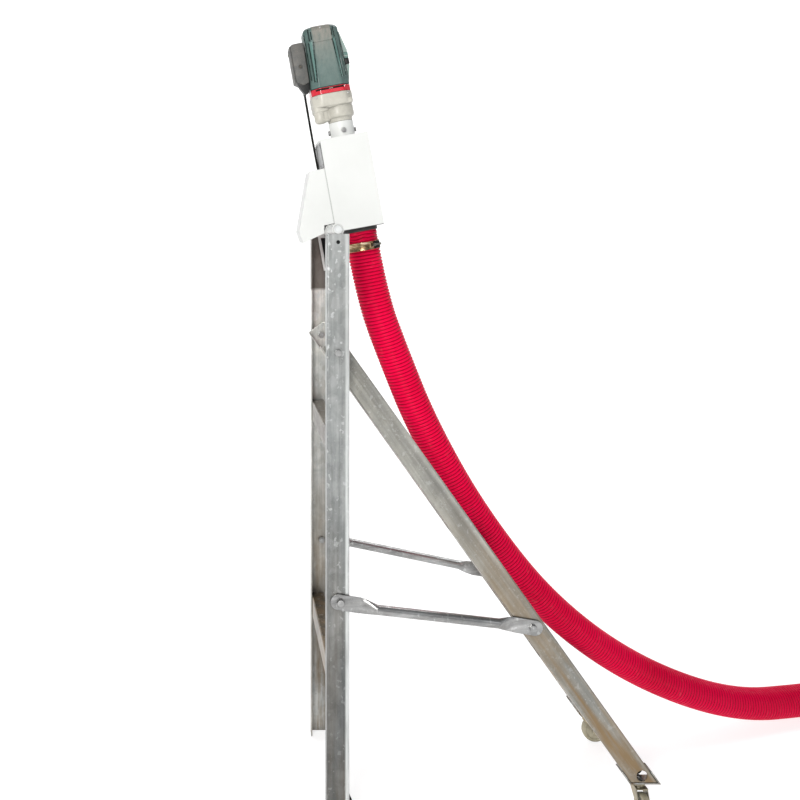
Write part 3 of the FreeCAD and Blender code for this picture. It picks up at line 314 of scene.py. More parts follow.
M["red"] = painted("red_fan_ring", (0.62, 0.020, 0.040), (0.62, 0.08, 0.10), 0.24, 0.5, 40, 0.0008, 0.08, 0.4,
                   dust=(0.72, 0.36, 0.36), dust_amount=0.25)
M["nylon"] = painted("nylon_wheel", (0.36, 0.33, 0.24), (0.22, 0.19, 0.125), 0.42, 0.8, 55, 0.001, 0.25,
                     dust=(0.28, 0.23, 0.15), dust_amount=0.5)
M["steel"] = painted("turned_steel", (0.50, 0.50, 0.51), (0.40, 0.40, 0.40), 0.30, 0.5, 60, 0.0005, 0.1, metal=1.0,
                     dust=(0.2, 0.19, 0.18), dust_amount=0.3)
M["copper"] = painted("copper_parts", (0.70, 0.36, 0.20), (0.50, 0.26, 0.16), 0.32, 0.5, 60, 0.0005, 0.1, metal=1.0)


def bronze():
    k = Mat("bronze_band")
    # the bronze tone is broken into dark and light bands: painted reflections on the metal band
    t = k.noise(1.0, 5, 0.6, k.mapped((28, 28, 120)))
    c = k.ramp(t, (0.34, (0.10, 0.058, 0.028)), (0.46, (0.27, 0.175, 0.090)), (0.58, (0.50, 0.37, 0.22)),
               (0.74, (0.80, 0.70, 0.54)))
    return k.finish(c, k.span(t, 0.3, 0.7, 0.34, 0.18), 0.95, (k.noise(400, 3, 0.6), 0.12, 0.0004), 0.0005)


M["bronze"] = bronze()


def hose_material():
    k = Mat("red_ribbed_hose")
    at = k.n("ShaderNodeAttribute", attribute_name="groove_shade")
    g = at.outputs["Fac"]
    big = k.noise(5.0, 5, 0.6)
    c = k.mix(k.span(big, 0.35, 0.7), (0.900, 0.002, 0.066), (0.780, 0.0015, 0.048))
    # painted shade: the hose is darker in its grooves
    c = k.mix(k.span(g, 0.25, 0.85), c, (0.250, 0.0010, 0.015))
    dust = k.calc("MULTIPLY", k.span(k.noise(26, 7, 0.72), 0.60, 0.76), 0.22)
    c = k.mix(dust, c, (0.78, 0.28, 0.27))
    r = k.span(k.noise(60, 4, 0.6), 0.3, 0.7, 0.30, 0.46)
    at = k.n("ShaderNodeSeparateXYZ")
    k.link(k.obj, at.inputs["Vector"])
    shade = k.calc("MULTIPLY", k.span(at.outputs["X"], 0.0, 0.8, 1.0, 0.70), k.span(at.outputs["Z"], 1.585, 1.625, 1.0, 0.62))
    grey = k.n("ShaderNodeCombineColor")
    for i_ in range(3):
        k.link(shade, grey.inputs[i_])
    c = k.mix(1.0, c, grey.outputs[0], "MULTIPLY")
    return k.finish(c, r, 0.0, (k.noise(240, 3, 0.6), 0.06, 0.0003), None, Coat_Weight=0.0, Specular_IOR_Level=0.06)


M["hose"] = hose_material()


# ------------------------------------------------------------------ helpers
def piece(name, verts, faces, mats, body, where=None, replaces=(), slot=None, smooth=True, face_mat=None,
          sharp=None):
    me = bpy.data.meshes.new(name)
    me.from_pydata([tuple(where @ Vector(v)) for v in verts] if where else [tuple(v) for v in verts], [], faces)
    for m in (mats if isinstance(mats, (list, tuple)) else [mats]):
        me.materials.append(m)
    if face_mat:
        me.polygons.foreach_set("material_index", face_mat)
    me.update()
    bm = bmesh.new()
    bm.from_mesh(me)
    bmesh.ops.recalc_face_normals(bm, faces=bm.faces)
    bm.to_mesh(me)
    bm.free()
    if smooth:
        me.polygons.foreach_set("use_smooth", [True] * len(me.polygons))
        if sharp:
            me.set_sharp_from_angle(angle=math.radians(sharp))
    ob = bpy.data.objects.new(name, me)
    col.objects.link(ob)
    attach(ob, body)
    if replaces:
        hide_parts(*replaces)
    return ob


class Build:
    """Collects vertices and faces of several shapes into one mesh."""

    def __init__(self):
        self.v, self.f, self.m = [], [], []

    def add(self, verts, faces, mi=0, where=None):
        n = len(self.v)
        self.v += [tuple(where @ Vector(p)) if where else tuple(p) for p in verts]
        self.f += [[i + n for i in f] for f in faces]
        self.m += [mi] * len(faces)

    def lathe(self, profile, segs=48, where=None, mi=0, closed=False):
        """Profile of (radius, z); a radius of 0 at an end closes it."""
        vs, fs = [], []
        k = len(profile)
        for j in range(segs):
            a = 2 * math.pi * j / segs
            vs += [(r * math.cos(a), r * math.sin(a), z) for r, z in profile]
        for j in range(segs):
            a, b = j * k, (j + 1) % segs * k
            for i in range(k if closed else k - 1):
                fs.append([a + i, b + i, b + (i + 1) % k, a + (i + 1) % k])
        self.add(vs, fs, mi, where)

    def slab(self, poly, y0, y1, bevel=1.5, seg=3, where=None, mi=0):
        """Polygon of (x, z) between two Y planes, edges rounded."""
        bm = bmesh.new()
        vs = [bm.verts.new((x, y0, z)) for x, z in poly]
        f = bm.faces.new(vs)
        r = bmesh.ops.extrude_face_region(bm, geom=[f])
        bmesh.ops.translate(bm, verts=[g for g in r["geom"] if isinstance(g, bmesh.types.BMVert)], vec=(0, y1 - y0, 0))
        bmesh.ops.recalc_face_normals(bm, faces=bm.faces)
        if bevel:
            bmesh.ops.bevel(bm, geom=list(bm.edges), offset=bevel, segments=seg, profile=0.5, affect="EDGES",
                            clamp_overlap=True)
        bm.verts.index_update()
        self.add([v.co[:] for v in bm.verts], [[v.index for v in fc.verts] for fc in bm.faces], mi, where)
        bm.free()

    def hexhead(self, across, high, where, mi=0):
        r = across / 2 / math.cos(math.pi / 6)
        bm = bmesh.new()
        vs = [bm.verts.new((r * math.cos(math.pi / 3 * i), r * math.sin(math.pi / 3 * i), 0)) for i in range(6)]
        f = bm.faces.new(vs)
        q = bmesh.ops.extrude_face_region(bm, geom=[f])
        bmesh.ops.translate(bm, verts=[g for g in q["geom"] if isinstance(g, bmesh.types.BMVert)], vec=(0, 0, high))
        bmesh.ops.recalc_face_normals(bm, faces=bm.faces)
        bmesh.ops.bevel(bm, geom=list(bm.edges), offset=across * 0.05, segments=2, profile=0.5, affect="EDGES")
        bm.verts.index_update()
        self.add([v.co[:] for v in bm.verts], [[v.index for v in fc.verts] for fc in bm.faces], mi, where)
        bm.free()

    def make(self, name, mats, body, where=None, **kw):
        return piece(name, self.v, self.f, mats, body, where, face_mat=self.m, **kw)


def dress(mat, *names):
    for n in names:
        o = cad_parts[n]
        if o.material_slots:
            for s in o.material_slots:
                s.material = mat
        else:
            o.data.materials.append(mat)


# -------------------------------------------------------------------- cords
def route(points):
    cu = bpy.data.curves.new("route", "CURVE")
    cu.dimensions = "3D"
    sp = cu.splines.new("NURBS")
    sp.points.add(len(points) - 1)
    for p, q in zip(sp.points, points):
        p.co = (q[0], q[1], q[2], 1.0)
    sp.order_u = 3
    sp.use_endpoint_u = True
    cu.resolution_u = 24
    ob = bpy.data.objects.new("route", cu)
    col.objects.link(ob)
    return ob


def line_of(ob):
    dg = bpy.context.evaluated_depsgraph_get()
    dg.update()
    me = bpy.data.meshes.new_from_object(ob.evaluated_get(dg))
    pts = [v.co.copy() for v in me.vertices]
    bpy.data.meshes.remove(me)
    return pts


def resample(pts, step):
    cum = [0.0]
    for a, b in zip(pts, pts[1:]):
        cum.append(cum[-1] + (b - a).length)
    n = max(2, int(round(cum[-1] / step)))
    out, i = [], 0
    for k in range(n + 1):
        s = cum[-1] * k / n
        while i < len(cum) - 2 and cum[i + 1] < s:
            i += 1
        t = (s - cum[i]) / max(1e-12, cum[i + 1] - cum[i])
        out.append(pts[i].lerp(pts[i + 1], t))
    return out, cum[-1]


def frames(pts):
    tan = []
    for i in range(len(pts)):
        a, b = pts[max(0, i - 1)], pts[min(len(pts) - 1, i + 1)]
        tan.append((b - a).normalized())
    n = tan[0].orthogonal().normalized()
    res = []
    for t in tan:
        n = (n - t * n.dot(t)).normalized()
        res.append((t, n, t.cross(n)))
    return res


HOSE = [head(95.75, 0, -10), head(95.75, 0, -220), stand(201, 12, 1293), stand(299, 31, 1058), stand(468, 66, 767),
        stand(711, 122, 463), stand(1027, 198, 222), stand(1390, 266, 70), stand(1700, 345, 50.8),
        stand(1955, 404, 50.6), stand(2180, 424, 51.6), stand(2360, 455, 51.9)]
rt = route(HOSE)
raw = line_of(rt)
bpy.data.objects.remove(rt)

PITCH, STEP, SEG = 0.0104, 0.0013, 44
pts, hose_len = resample(raw, STEP)
fr = frames(pts)
verts, groove_shade, faces = [], [], []
for i, (p, (t, n, b)) in enumerate(zip(pts, fr)):
    s = hose_len * i / (len(pts) - 1)
    cuff = min(1.0, max(0.0, (s - 0.004) / 0.012), max(0.0, (hose_len - 0.045 - s) / 0.012))
    under = 1.0 if 0.0485 < s < 0.0665 else 0.0
    for j in range(SEG):
        a = 2 * math.pi * j / SEG
        wob = 0.0
        amp = 1.0
        if s < 0.056:
            wob = noise.noise(Vector((math.cos(a) * 1.7, math.sin(a) * 1.7, s * 55))) * 0.55
            amp = 0.85 + 0.9 * noise.noise(Vector((math.cos(a) * 1.3, math.sin(a) * 1.3, s * 40 + 9)))
        ph = (s / PITCH + j / SEG + wob) % 1.0
        g = abs(2 * ph - 1) ** 2.6
        depth = 0.0039 * cuff * max(0.15, min(1.25, amp))
        r = 0.0499 - depth * g - (0.0014 if under else 0.0)
        if s < 0.056:
            r -= 0.0012 * max(0.0, noise.noise(Vector((math.cos(a) * 2.1, math.sin(a) * 2.1, s * 26 + 4))))
        verts.append(p + (n * math.cos(a) + b * math.sin(a)) * r)
        groove_shade.append(g * cuff)
rows = len(pts)
inner = list(range(rows - 1, -1, -36))
if inner[-1] != 0:
    inner.append(0)
for i in inner:
    p, (t, n, b) = pts[i], fr[i]
    for j in range(SEG):
        a = 2 * math.pi * j / SEG
        verts.append(p + (n * math.cos(a) + b * math.sin(a)) * 0.0450)
        groove_shade.append(0.3)
total = rows + len(inner)
for i in range(total):
    k = (i + 1) % total
    for j in range(SEG):
        q = (j + 1) % SEG
        faces.append((i * SEG + j, i * SEG + q, k * SEG + q, k * SEG + j))
hose = piece("ribbed_hose", verts, faces, M["hose"], "stand", replaces=("suction_hose",), slot="hose_red")
att = hose.data.attributes.new("groove_shade", "FLOAT", "POINT")
att.data.foreach_set("value", groove_shade)
[tuple(p) for p in resample(raw, 0.02)[0]]

# spiral that runs through the hose
hp, hl = resample(raw, 0.065 / 18)
hf = frames(hp)
hv, hfc = [], []
first, last = 3, len(hp) - 4
mid = []
for i in range(first, last + 1):
    t, n, b = hf[i]
    a = 2 * math.pi * i / 18
    mid.append(hp[i] + (n * math.cos(a) + b * math.sin(a)) * 0.0355)
mf = frames(mid)
for p, (t, n, b) in zip(mid, mf):
    for j in range(8):
        a = 2 * math.pi * j / 8
        hv.append(p + (n * math.cos(a) + b * math.sin(a)) * 0.0034)
k = len(mid)
for i in range(k - 1):
    for j in range(8):
        q = (j + 1) % 8
        hfc.append((i * 8 + j, i * 8 + q, (i + 1) * 8 + q, (i + 1) * 8 + j))
hfc.append(tuple(range(7, -1, -1)))
hfc.append(tuple((k - 1) * 8 + j for j in range(8)))
piece("spring_spiral", hv, hfc, M["steel"], "stand", replaces=("flexible_auger",), slot="spring_steel")

# power cable with its put-away turns
CABLE = [head(3.2, 6, 416.2), stand(-26.3, 81, 1866), stand(25, 89, 1668), stand(30, 86, 1563), stand(33, 80, 1462),
         stand(31, 73, 1360), stand(36, 68, 1258), stand(33, 63, 1157), stand(37, 56, 1056), stand(34, 52, 954),
         stand(39, 45, 853), stand(36, 41, 751), stand(41, 34, 650), stand(38, 29, 548), stand(43, 22, 447),
         stand(40, 16, 346), stand(44, 8, 245), stand(42, 1, 150), stand(43, -12, 72), stand(45, -42, 22),
         stand(48, -92, 3.6), stand(58, -146, 3.7), stand(78, -186, 3.6), stand(110, -205, 3.6)]
CX, CY = 135.88, -249.95


def ease(x, a, b):
    x = min(1.0, max(0.0, (x - a) / (b - a)))
    return x * x * (3 - 2 * x)


tau = 0.0
while tau <= 1125:
    r = 39.2 + 3.3 * ease(tau, 0, 60) - 7.0 * ease(tau, 300, 350) + 7.0 * ease(tau, 900, 950)
    z = 3.7 + 7.1 * ease(tau, 590, 655)
    r += 24.0 * ease(tau, 1055, 1150)
    ang = math.radians(84 - tau)
    CABLE.append(stand(CX + r * 1.019 * math.cos(ang), CY + r * 1.019 * math.sin(ang), z))
    tau += 22.5
PLUG = (CX + 82, CY - 10, math.radians(-62))
for back in (56, 43.5):
    CABLE.append(stand(PLUG[0] - back * math.cos(PLUG[2]), PLUG[1] - back * math.sin(PLUG[2]), 9.6))
rt = route(CABLE)
rt.name = "power_lead"
rt.data.name = "power_lead"
rt.data.bevel_depth = 0.0035
rt.data.bevel_resolution = 5
rt.data.resolution_u = 10
rt.data.use_fill_caps = True
rt.data.materials.append(M["rubber"])
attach(rt, "stand")
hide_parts("power_cable", "power_cable_coil")

# gland: a ribbed, tapered strain relief
g = Build()
prof = [(3.7, 417)]
for i in range(7):
    z = 418.5 + i * 2.8
    ro = 4.3 + i * 0.27
    prof += [(ro, z), (ro, z + 1.6), (ro - 0.7, z + 1.7), (ro - 0.7, z + 2.7)]
prof += [(5.9, 438.7), (8.4, 438.9), (8.6, 440), (8.6, 442), (8.3, 442.8), (6.0, 443), (6.0, 446.4), (3.7, 446.4)]
g.lathe(prof, 28, Matrix.Translation((3.2, 6, 0)), closed=True)
gland = g.make("strain_relief", M["rubber"], "stand", HEAD, replaces=("cable_gland",), slot="rubber", sharp=35)

dress(M["black"], "power_plug")

# ------------------------------------------------------- motor: shell skins
MU = 79.0


def octagon(hx, hy, c, n, soften):
    """n points of a rounded octagon, evenly spaced, with outward normals."""
    poly = [(-hx + c, -hy), (hx - c, -hy), (hx, -hy + c), (hx, hy - c), (hx - c, hy), (-hx + c, hy), (-hx, hy - c),
            (-hx, -hy + c)]
    seg = [math.dist(poly[i], poly[(i + 1) % 8]) for i in range(8)]
    per = sum(seg)
    out = []
    for k_ in range(n):
        s = per * k_ / n
        i = 0
        while s > seg[i]:
            s -= seg[i]
            i += 1
        a, b = poly[i], poly[(i + 1) % 8]
        out.append((a[0] + (b[0] - a[0]) * s / seg[i], a[1] + (b[1] - a[1]) * s / seg[i]))
    for _ in range(soften):
        out = [((out[i - 1][0] + 2 * out[i][0] + out[(i + 1) % n][0]) / 4,
                (out[i - 1][1] + 2 * out[i][1] + out[(i + 1) % n][1]) / 4) for i in range(n)]
    nor = []
    for i in range(n):
        a, b = out[i - 1], out[(i + 1) % n]
        dx, dy = b[0] - a[0], b[1] - a[1]
        m = math.hypot(dx, dy)
        nor.append((dy / m, -dx / m))
    return out, nor


def skin(levels, n, disp, soften=5, wall=None, cap_top=False):
    """Rows of (v, hx, hy, c) wrapped into a shell; disp gives the inward depth and the material."""
    bd = Build()
    vs, fs, ms = [], [], []
    depth_of = []
    for v, hx, hy, c in levels:
        pts_, nor = octagon(hx, hy, c, n, soften)
        for (x, y), (nx, ny) in zip(pts_, nor):
            d, mi = disp(x + MU, y, v, nx, ny)
            vs.append((MU + x - nx * d, y - ny * d, v))
            depth_of.append(mi)
    for i in range(len(levels) - 1):
        for j in range(n):
            q = (j + 1) % n
            f = [i * n + j, i * n + q, (i + 1) * n + q, (i + 1) * n + j]
            fs.append(f)
            ms.append(max(depth_of[a] for a in f) if min(depth_of[a] for a in f) else
                      (max(depth_of[a] for a in f) if sum(1 for a in f if depth_of[a]) >= 3 else 0))
    if wall:
        top, bot = levels[-1], levels[0]
        base = len(vs)
        for lv in (top, bot):
            pts_, nor = octagon(lv[1] - wall, lv[2] - wall, max(1.0, lv[3] - wall * 0.4), n, soften)
            vs += [(MU + x, y, lv[0]) for x, y in pts_]
        a0, b0 = (len(levels) - 1) * n, base
        for j in range(n):
            q = (j + 1) % n
            fs.append([a0 + j, a0 + q, b0 + q, b0 + j])
            fs.append([b0 + j, b0 + q, b0 + n + q, b0 + n + j])
            fs.append([b0 + n + j, b0 + n + q, q, j])
            ms += [0, 0, 0]
    if cap_top:
        lv = levels[-1]
        prev = (len(levels) - 1) * n
        for shrink in (0.93, 0.75, 0.5, 0.25):
            pts_, nor = octagon(lv[1] * shrink, lv[2] * shrink, lv[3] * shrink, n, soften)
            b0 = len(vs)
            lift = lv[0] + (0.25 if shrink > 0.9 else 0.35)
            vs += [(MU + x, y, min(lift, 621.0)) for x, y in pts_]
            for j in range(n):
                q = (j + 1) % n
                fs.append([prev + j, prev + q, b0 + q, b0 + j])
                ms.append(0)
            prev = b0
        c0 = len(vs)
        vs.append((MU, 0, min(lv[0] + 0.35, 621.0)))
        for j in range(n):
            fs.append([prev + j, prev + (j + 1) % n, c0])
            ms.append(0)
    bd.v, bd.f, bd.m = vs, fs, ms
    return bd


def cut_line(u, v, u0, v0, u1, v1, w):
    """1 on the line from (u0, v0) to (u1, v1), falling to 0 at half width w."""
    if not min(v0, v1) <= v <= max(v0, v1):
        return 0.0
    c = u0 + (u1 - u0) * (v - v0) / (v1 - v0)
    d = abs(u - c) / (w / 2)
    end = min(abs(v - v0), abs(v - v1)) / 3.0
    return max(0.0, 1 - d * d) * min(1.0, end + 0.25) if d < 1 else 0.0


def motor_disp(u, y, v, nx, ny):
    if abs(ny) > 0.5:
        best, mi = 0.0, 0
        for a in ((40.0, 570, 40.0, 599.5, 4.4), (46.8, 572, 47.2, 596, 3.4), (117.0, 571, 116.6, 599.5, 5.6),
                  (109.5, 576, 109.8, 597, 3.2)):
            g_ = cut_line(u, v, *a)
            if g_ > 0.25:
                return 5.0 * min(1.0, g_ * 2), 1
        for a in ((36.6, 566, 34.4, 446, 4.4), (50.0, 566, 40.4, 443, 4.6), (120.0, 566, 124.0, 449, 4.4),
                  (108.6, 566, 117.6, 447, 4.6), (27.6, 594, 26.6, 452, 3.0), (131.0, 588, 132.5, 452, 3.0)):
            g_ = cut_line(u, v, *a)
            if g_ > best:
                best = g_
        if best > 0.1:
            return 4.6 * min(1.0, best * 1.8), 3
        ul = 50.0 + (39.6 - 50.0) * (567 - v) / 121
        ur = 108.2 + (118.4 - 108.2) * (567 - v) / 118
        if 446 < v < 567 and (36.8 < u < ul or ur < u < 122):
            return 0.3, 4
        if 50.5 < u < 108.5 and abs(v - 563) < 1.1:
            return 1.0, 3
        if v < 428:
            return 0.9, 3
        return 0.0, mi
    if abs(nx) > 0.75 and abs(y) < 40:
        for yy in (-30, -18, 18, 30):
            g_ = cut_line(y, v, yy, 590, yy, 446, 4.0)
            if g_ > 0.2:
                return 3.2 * min(1.0, g_ * 2), 3
    if v < 428:
        return 0.9, 3
    return 0.0, 0


lv = []
for i in range(121):
    v = 424 + 176 * i / 120
    t = i / 120
    lv.append((v, 60 - 7 * t, 56.5 - 5.5 * t, 24 - 4 * t))
b = skin(lv, 400, motor_disp, 8, wall=4.0)
b.make("motor_shell", [M["teal"], M["void"], M["dusty"], M["teal_dark"], M["teal_light"]], "stand", HEAD,
       replaces=("motor_housing",), slot="green_paint", sharp=40)


def cap_disp(u, y, v, nx, ny):
    if abs(ny) > 0.5:
        g_ = max(cut_line(u, v, 40.0, 597, 40.4, 606, 4.2), cut_line(u, v, 116.6, 597, 116.0, 605, 5.0))
        if g_ > 0.3:
            return 3.0 * g_, 1
    if v < 600.6:
        return 0.35, 0
    return 0.0, 0


lv = []
for v, hx, hy, c in [(600, 53, 51, 20), (601, 53, 51, 20), (604, 52.2, 50.2, 20), (608, 51, 49, 20), (611.5, 49.4, 47.4, 20),
                     (614.5, 47.4, 45.4, 19.5), (617, 45, 43, 19), (619, 42.6, 40.6, 18.5), (620.2, 40.2, 38.2, 18),
                     (620.65, 38, 36, 17.5)]:
    lv.append((600 + (v - 600) * 0.68, hx, hy, c))
b = skin(lv, 260, cap_disp, 6, cap_top=True)
for yy, s in ((-49.2, -1), (49.2, 1)):
    W = Matrix.Translation((78.6, yy, 604.6)) @ Matrix.Rotation(-s * math.pi / 2, 4, "X")
    b.lathe([(0.0, 2.6), (1.4, 2.5), (2.7, 1.9), (3.4, 0.9), (3.6, -0.5), (3.6, -2.0)], 20, W, 5)
b.make("motor_cap", [M["teal"], M["void"], M["dusty"], M["teal_dark"], M["teal_light"], M["zinc"]], "stand", HEAD,
       replaces=("motor_end_cap",), slot="green_paint", sharp=40)

# red fan ring
def ring_disp(u, y, v, nx, ny):
    if abs(ny) > 0.5 and 31 < u < 122 and 416.8 < v < 422.0:
        return 3.2, 1
    if v < 405.8 or v > 423.2:
        return 0.6, 0
    return 0.0, 0


lv = [(v, 60, 56.5, 24) for v in (405.0, 405.4, 405.9, 408, 411, 414, 416.4, 416.9, 418, 419.5, 421.8, 422.1, 422.8, 423.3,
                                  423.6, 424.0)]
b = skin(lv, 240, ring_disp, 6, wall=4.5)
for s in (-1, 1):
    b.slab([(72, 418.0), (84, 418.2), (84, 420.2), (72, 420.0)], s * 54.6 - 0.6, s * 54.6 + 0.6, 0.3, 1, mi=2)
b.make("fan_guard_ring", [M["red"], M["void"], M["cream"]], "stand", HEAD, replaces=("fan_ring",), slot="red_plastic",
       sharp=40)

# gearbox casting: overlapping bosses blended into one skin
g = Build()
AX = 95.75


def solid_disc(r, z0, z1, x, y, rr=3.0, segs=64):
    g.lathe([(0, z0), (r - rr, z0), (r - rr * 0.3, z0 + rr * 0.3), (r, z0 + rr), (r, z1 - rr), (r - rr * 0.3, z1 - rr * 0.3),
             (r - rr, z1), (0, z1)], segs, Matrix.Translation((x, y, 0)))


def oct_block(z0, z1, hx, hy, c, rr):
    n_ = 96
    rows_ = []
    for z, inset in ((z0, rr), (z0 + rr * 0.12, rr * 0.5), (z0 + rr * 0.45, rr * 0.14), (z0 + rr, 0.0), (z1, 0.0)):
        p_, _ = octagon(hx - inset, hy - inset, c, n_, 3)
        rows_.append([(MU + x, y, z) for x, y in p_])
    vs = [p for r_ in rows_ for p in r_] + [(MU, 0, z0), (MU, 0, z1)]
    fs = []
    for i in range(len(rows_) - 1):
        for j in range(n_):
            q = (j + 1) % n_
            fs.append([i * n_ + j, i * n_ + q, (i + 1) * n_ + q, (i + 1) * n_ + j])
    last_ = (len(rows_) - 1) * n_
    for j in range(n_):
        q = (j + 1) % n_
        fs.append([j, len(vs) - 2, q])
        fs.append([last_ + j, last_ + q, len(vs) - 1])
    g.add(vs, fs)


oct_block(366, 405, 62, 58, 24, 9)
solid_disc(45.5, 329.5, 370, AX, 0, 8)
solid_disc(37, 317, 336, AX, 0, 2)
solid_disc(18.5, 320.5, 366, 35.5, -17, 10, 48)
solid_disc(17, 324, 366, 52, -15, 6, 40)
g.slab([(18.5, 352), (64, 356), (64, 384), (18.5, 384)], -40, 40, 9, 6)
g.slab([(60, 362), (136, 368), (136, 384), (60, 384)], -52, 52, 4, 4)
gb = g.make("gearbox_casting", [M["cream"]], "stand", HEAD)
rm = gb.modifiers.new("remesh", "REMESH")
rm.mode = "VOXEL"
rm.voxel_size = 0.0016
sm = gb.modifiers.new("smooth", "SMOOTH")
sm.factor = 0.5
sm.iterations = 9
dg = bpy.context.evaluated_depsgraph_get()
dg.update()
new = bpy.data.meshes.new_from_object(gb.evaluated_get(dg))
gb.modifiers.clear()
old = gb.data
gb.data = new
bpy.data.meshes.remove(old)
new.polygons.foreach_set("use_smooth", [True] * len(new.polygons))
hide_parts("gearbox_housing")
# cover screws on the flange of the gearbox
g = Build()
for s in (-1, 1):
    for u in (30.5, 127.5):
        W = Matrix.Translation((u, s * 46.5, 396)) @ Matrix.Rotation(math.pi, 4, "X")
        g.lathe([(0, 0), (3.4, 0), (3.7, -0.3), (3.7, -3.6), (3.2, -4.0), (0, -4.0)], 24, W)
g.make("gearbox_screws", [M["zinc"]], "stand", HEAD, slot="zinc", sharp=35)

# terminal box, lid and switch surround
g = Build()
g.slab([(-20, 566), (-14, 571), (12, 572), (21.3, 570), (19.2, 450), (1, 443), (-20, 456)], -42, 32, 3.2, 4)
# black underside band and black boot round the gland: partly black moulding, partly painted shade under the terminal
# box
g.slab([(-19, 455.6), (1.2, 443.6), (18.6, 450), (18.8, 455)], -40, 30, 1.2, 2, mi=1)
W = Matrix.Translation((0.2, -42.0, 500)) @ Matrix.Rotation(math.pi / 2, 4, "X")
g.lathe([(6.6, -1.0), (6.6, 0.5), (6.2, 0.9), (4.6, 0.9), (4.3, 0.4), (4.3, -1.0)], 32, W)
g.slab([(-17.5, 454), (-15, 446), (-6, 428), (0, 417), (13, 420), (17.5, 430), (18, 450)], -38, -5, 2.2, 3, mi=1)
g.make("terminal_case", [M["grey"], M["black"]], "stand", HEAD, replaces=("terminal_box",), slot="grey_plastic", sharp=40)
g = Build()
g.slab([(-23, 565), (-20, 566), (-20, 456), (-23, 458)], -40, 30, 0.9, 3)
g.slab([(-23.2, 552), (-22.8, 552), (-22.8, 470), (-23.2, 470)], -30, 20, 0.15, 1)
g.make("terminal_lid", [M["grey"]], "stand", HEAD, replaces=("terminal_box_lid",), slot="grey_plastic", sharp=40)

# brush cap with its gussets on the motor's side
g = Build()
W = Matrix.Translation((140.1, 0, 507)) @ Matrix.Rotation(math.pi / 2, 4, "Y")
prof = [(11.5, 0), (20, 0), (20, 1.6), (19.2, 2.4), (17.6, 8.4), (17.0, 9.0), (11.5, 9.0)]
g.lathe(prof, 40, W, 0, closed=True)
prof = [(0, 11.9), (9, 11.9), (13.2, 11.9), (14.0, 11.2), (14.0, 9.0), (13.6, 8.6), (0, 8.6)]
g.lathe(prof, 40, W, 1)
for k in range(14):
    a = 2 * math.pi * k / 14
    g.add([(140.1 + x_, 14.0 * math.cos(a + da), 507 + 14.0 * math.sin(a + da)) for x_ in (9.1, 11.2) for da in (-0.06, 0.06)] +
          [(140.1 + x_, 14.7 * math.cos(a + da), 507 + 14.7 * math.sin(a + da)) for x_ in (9.1, 11.0) for da in (-0.05, 0.05)],
          [[0, 1, 3, 2], [4, 6, 7, 5], [0, 4, 5, 1], [2, 3, 7, 6], [0, 2, 6, 4], [1, 5, 7, 3]], 1)
g.slab([(133.6, 588), (134.8, 590), (150.5, 530), (150.0, 524), (138.0, 524)], -22, 5, 1.4, 3, mi=2)
g.slab([(137, 487), (151.6, 487), (151.6, 504), (137, 504)], -24, -6, 2.4, 3, mi=1)
g.slab([(137, 505), (151.6, 505), (151.6, 524), (137, 524)], -22, -6, 2.4, 3, mi=0)
g.slab([(137, 510), (151.9, 510), (151.9, 514), (137, 514)], -23.5, -6, 1.0, 2, mi=2)
g.slab([(138.2, 488), (150.0, 488), (150.5, 482), (140.6, 436), (139.4, 438)], -20, 5, 1.4, 3, mi=2)
g.make("brush_cap_cover", [M["teal_light"], M["black"], M["gusset"]], "stand", HEAD, replaces=("brush_cap",),
       slot="black_plastic", sharp=40)

# grey plate on the discharge box's side, above the spout, darker than the white box
g = Build()
g.slab([(13.2, 188), (14.7, 188), (14.7, 262), (13.2, 262)], -70, 70, 0.4, 1)
for yy in (-60, 0, 60):
    for vv in (196, 254):
        W = Matrix.Translation((13.2, yy, vv)) @ Matrix.Rotation(-math.pi / 2, 4, "Y")
        g.lathe([(0, 1.5), (2.0, 1.3), (3.1, 0.4), (3.2, -0.2)], 16, W)
g.make("side_plate", [M["plate"]], "stand", HEAD, slot="galvanised", sharp=35)

# dark discs seen through the legs' top holes: painted shade for the unlit inside of the legs
for s, nm in ((-1, "near"), (1, "far")):
    g = Build()
    W = Matrix.Translation((0, s * 248.9, 1638)) @ Matrix.Rotation(s * -math.pi / 2, 4, "X")
    g.lathe([(0, 0.3), (4.6, 0.3), (5.3, 0.1), (5.4, -0.3), (0, -0.3)], 28, W)
    g.make("hole_shade_" + nm, [M["void"]], "stand", MM, slot="rubber", sharp=35)

# dark sheet under the box and dark ring round the top of the hose: painted shadow cast by the box
g = Build()
n_ = 96
vs, fs = [], []
for z in (-10.7, -9.15):
    for j in range(n_):
        a = 2 * math.pi * j / n_
        ca, sa = math.cos(a), math.sin(a)
        lim = min(((64.0 if ca > 0 else 51.6) / abs(ca)) if abs(ca) > 1e-6 else 1e9, (72.2 / abs(sa)) if abs(sa) > 1e-6 else 1e9)
        vs += [(95.75 + 50.7 * ca, 50.7 * sa, z), (95.75 + lim * ca, lim * sa, z)]
for j in range(n_):
    q = (j + 1) % n_
    a0, a1, b0, b1 = 2 * j, 2 * j + 1, 2 * q, 2 * q + 1
    m_ = 2 * n_
    fs += [[a0, b0, b1, a1], [a0 + m_, a1 + m_, b1 + m_, b0 + m_], [a0, a0 + m_, b0 + m_, b0], [a1, b1, b1 + m_, a1 + m_]]
g.add(vs, fs)
g.lathe([(50.65, -10.7), (52.9, -10.7), (52.9, -20.6), (52.3, -21.4), (50.9, -21.4), (50.65, -20.8)], 96,
        Matrix.Translation((95.75, 0, 0)), 0, closed=True)
g.make("box_underside_shadow", [M["dark_plate"]], "stand", HEAD, slot="galvanised", smooth=False)

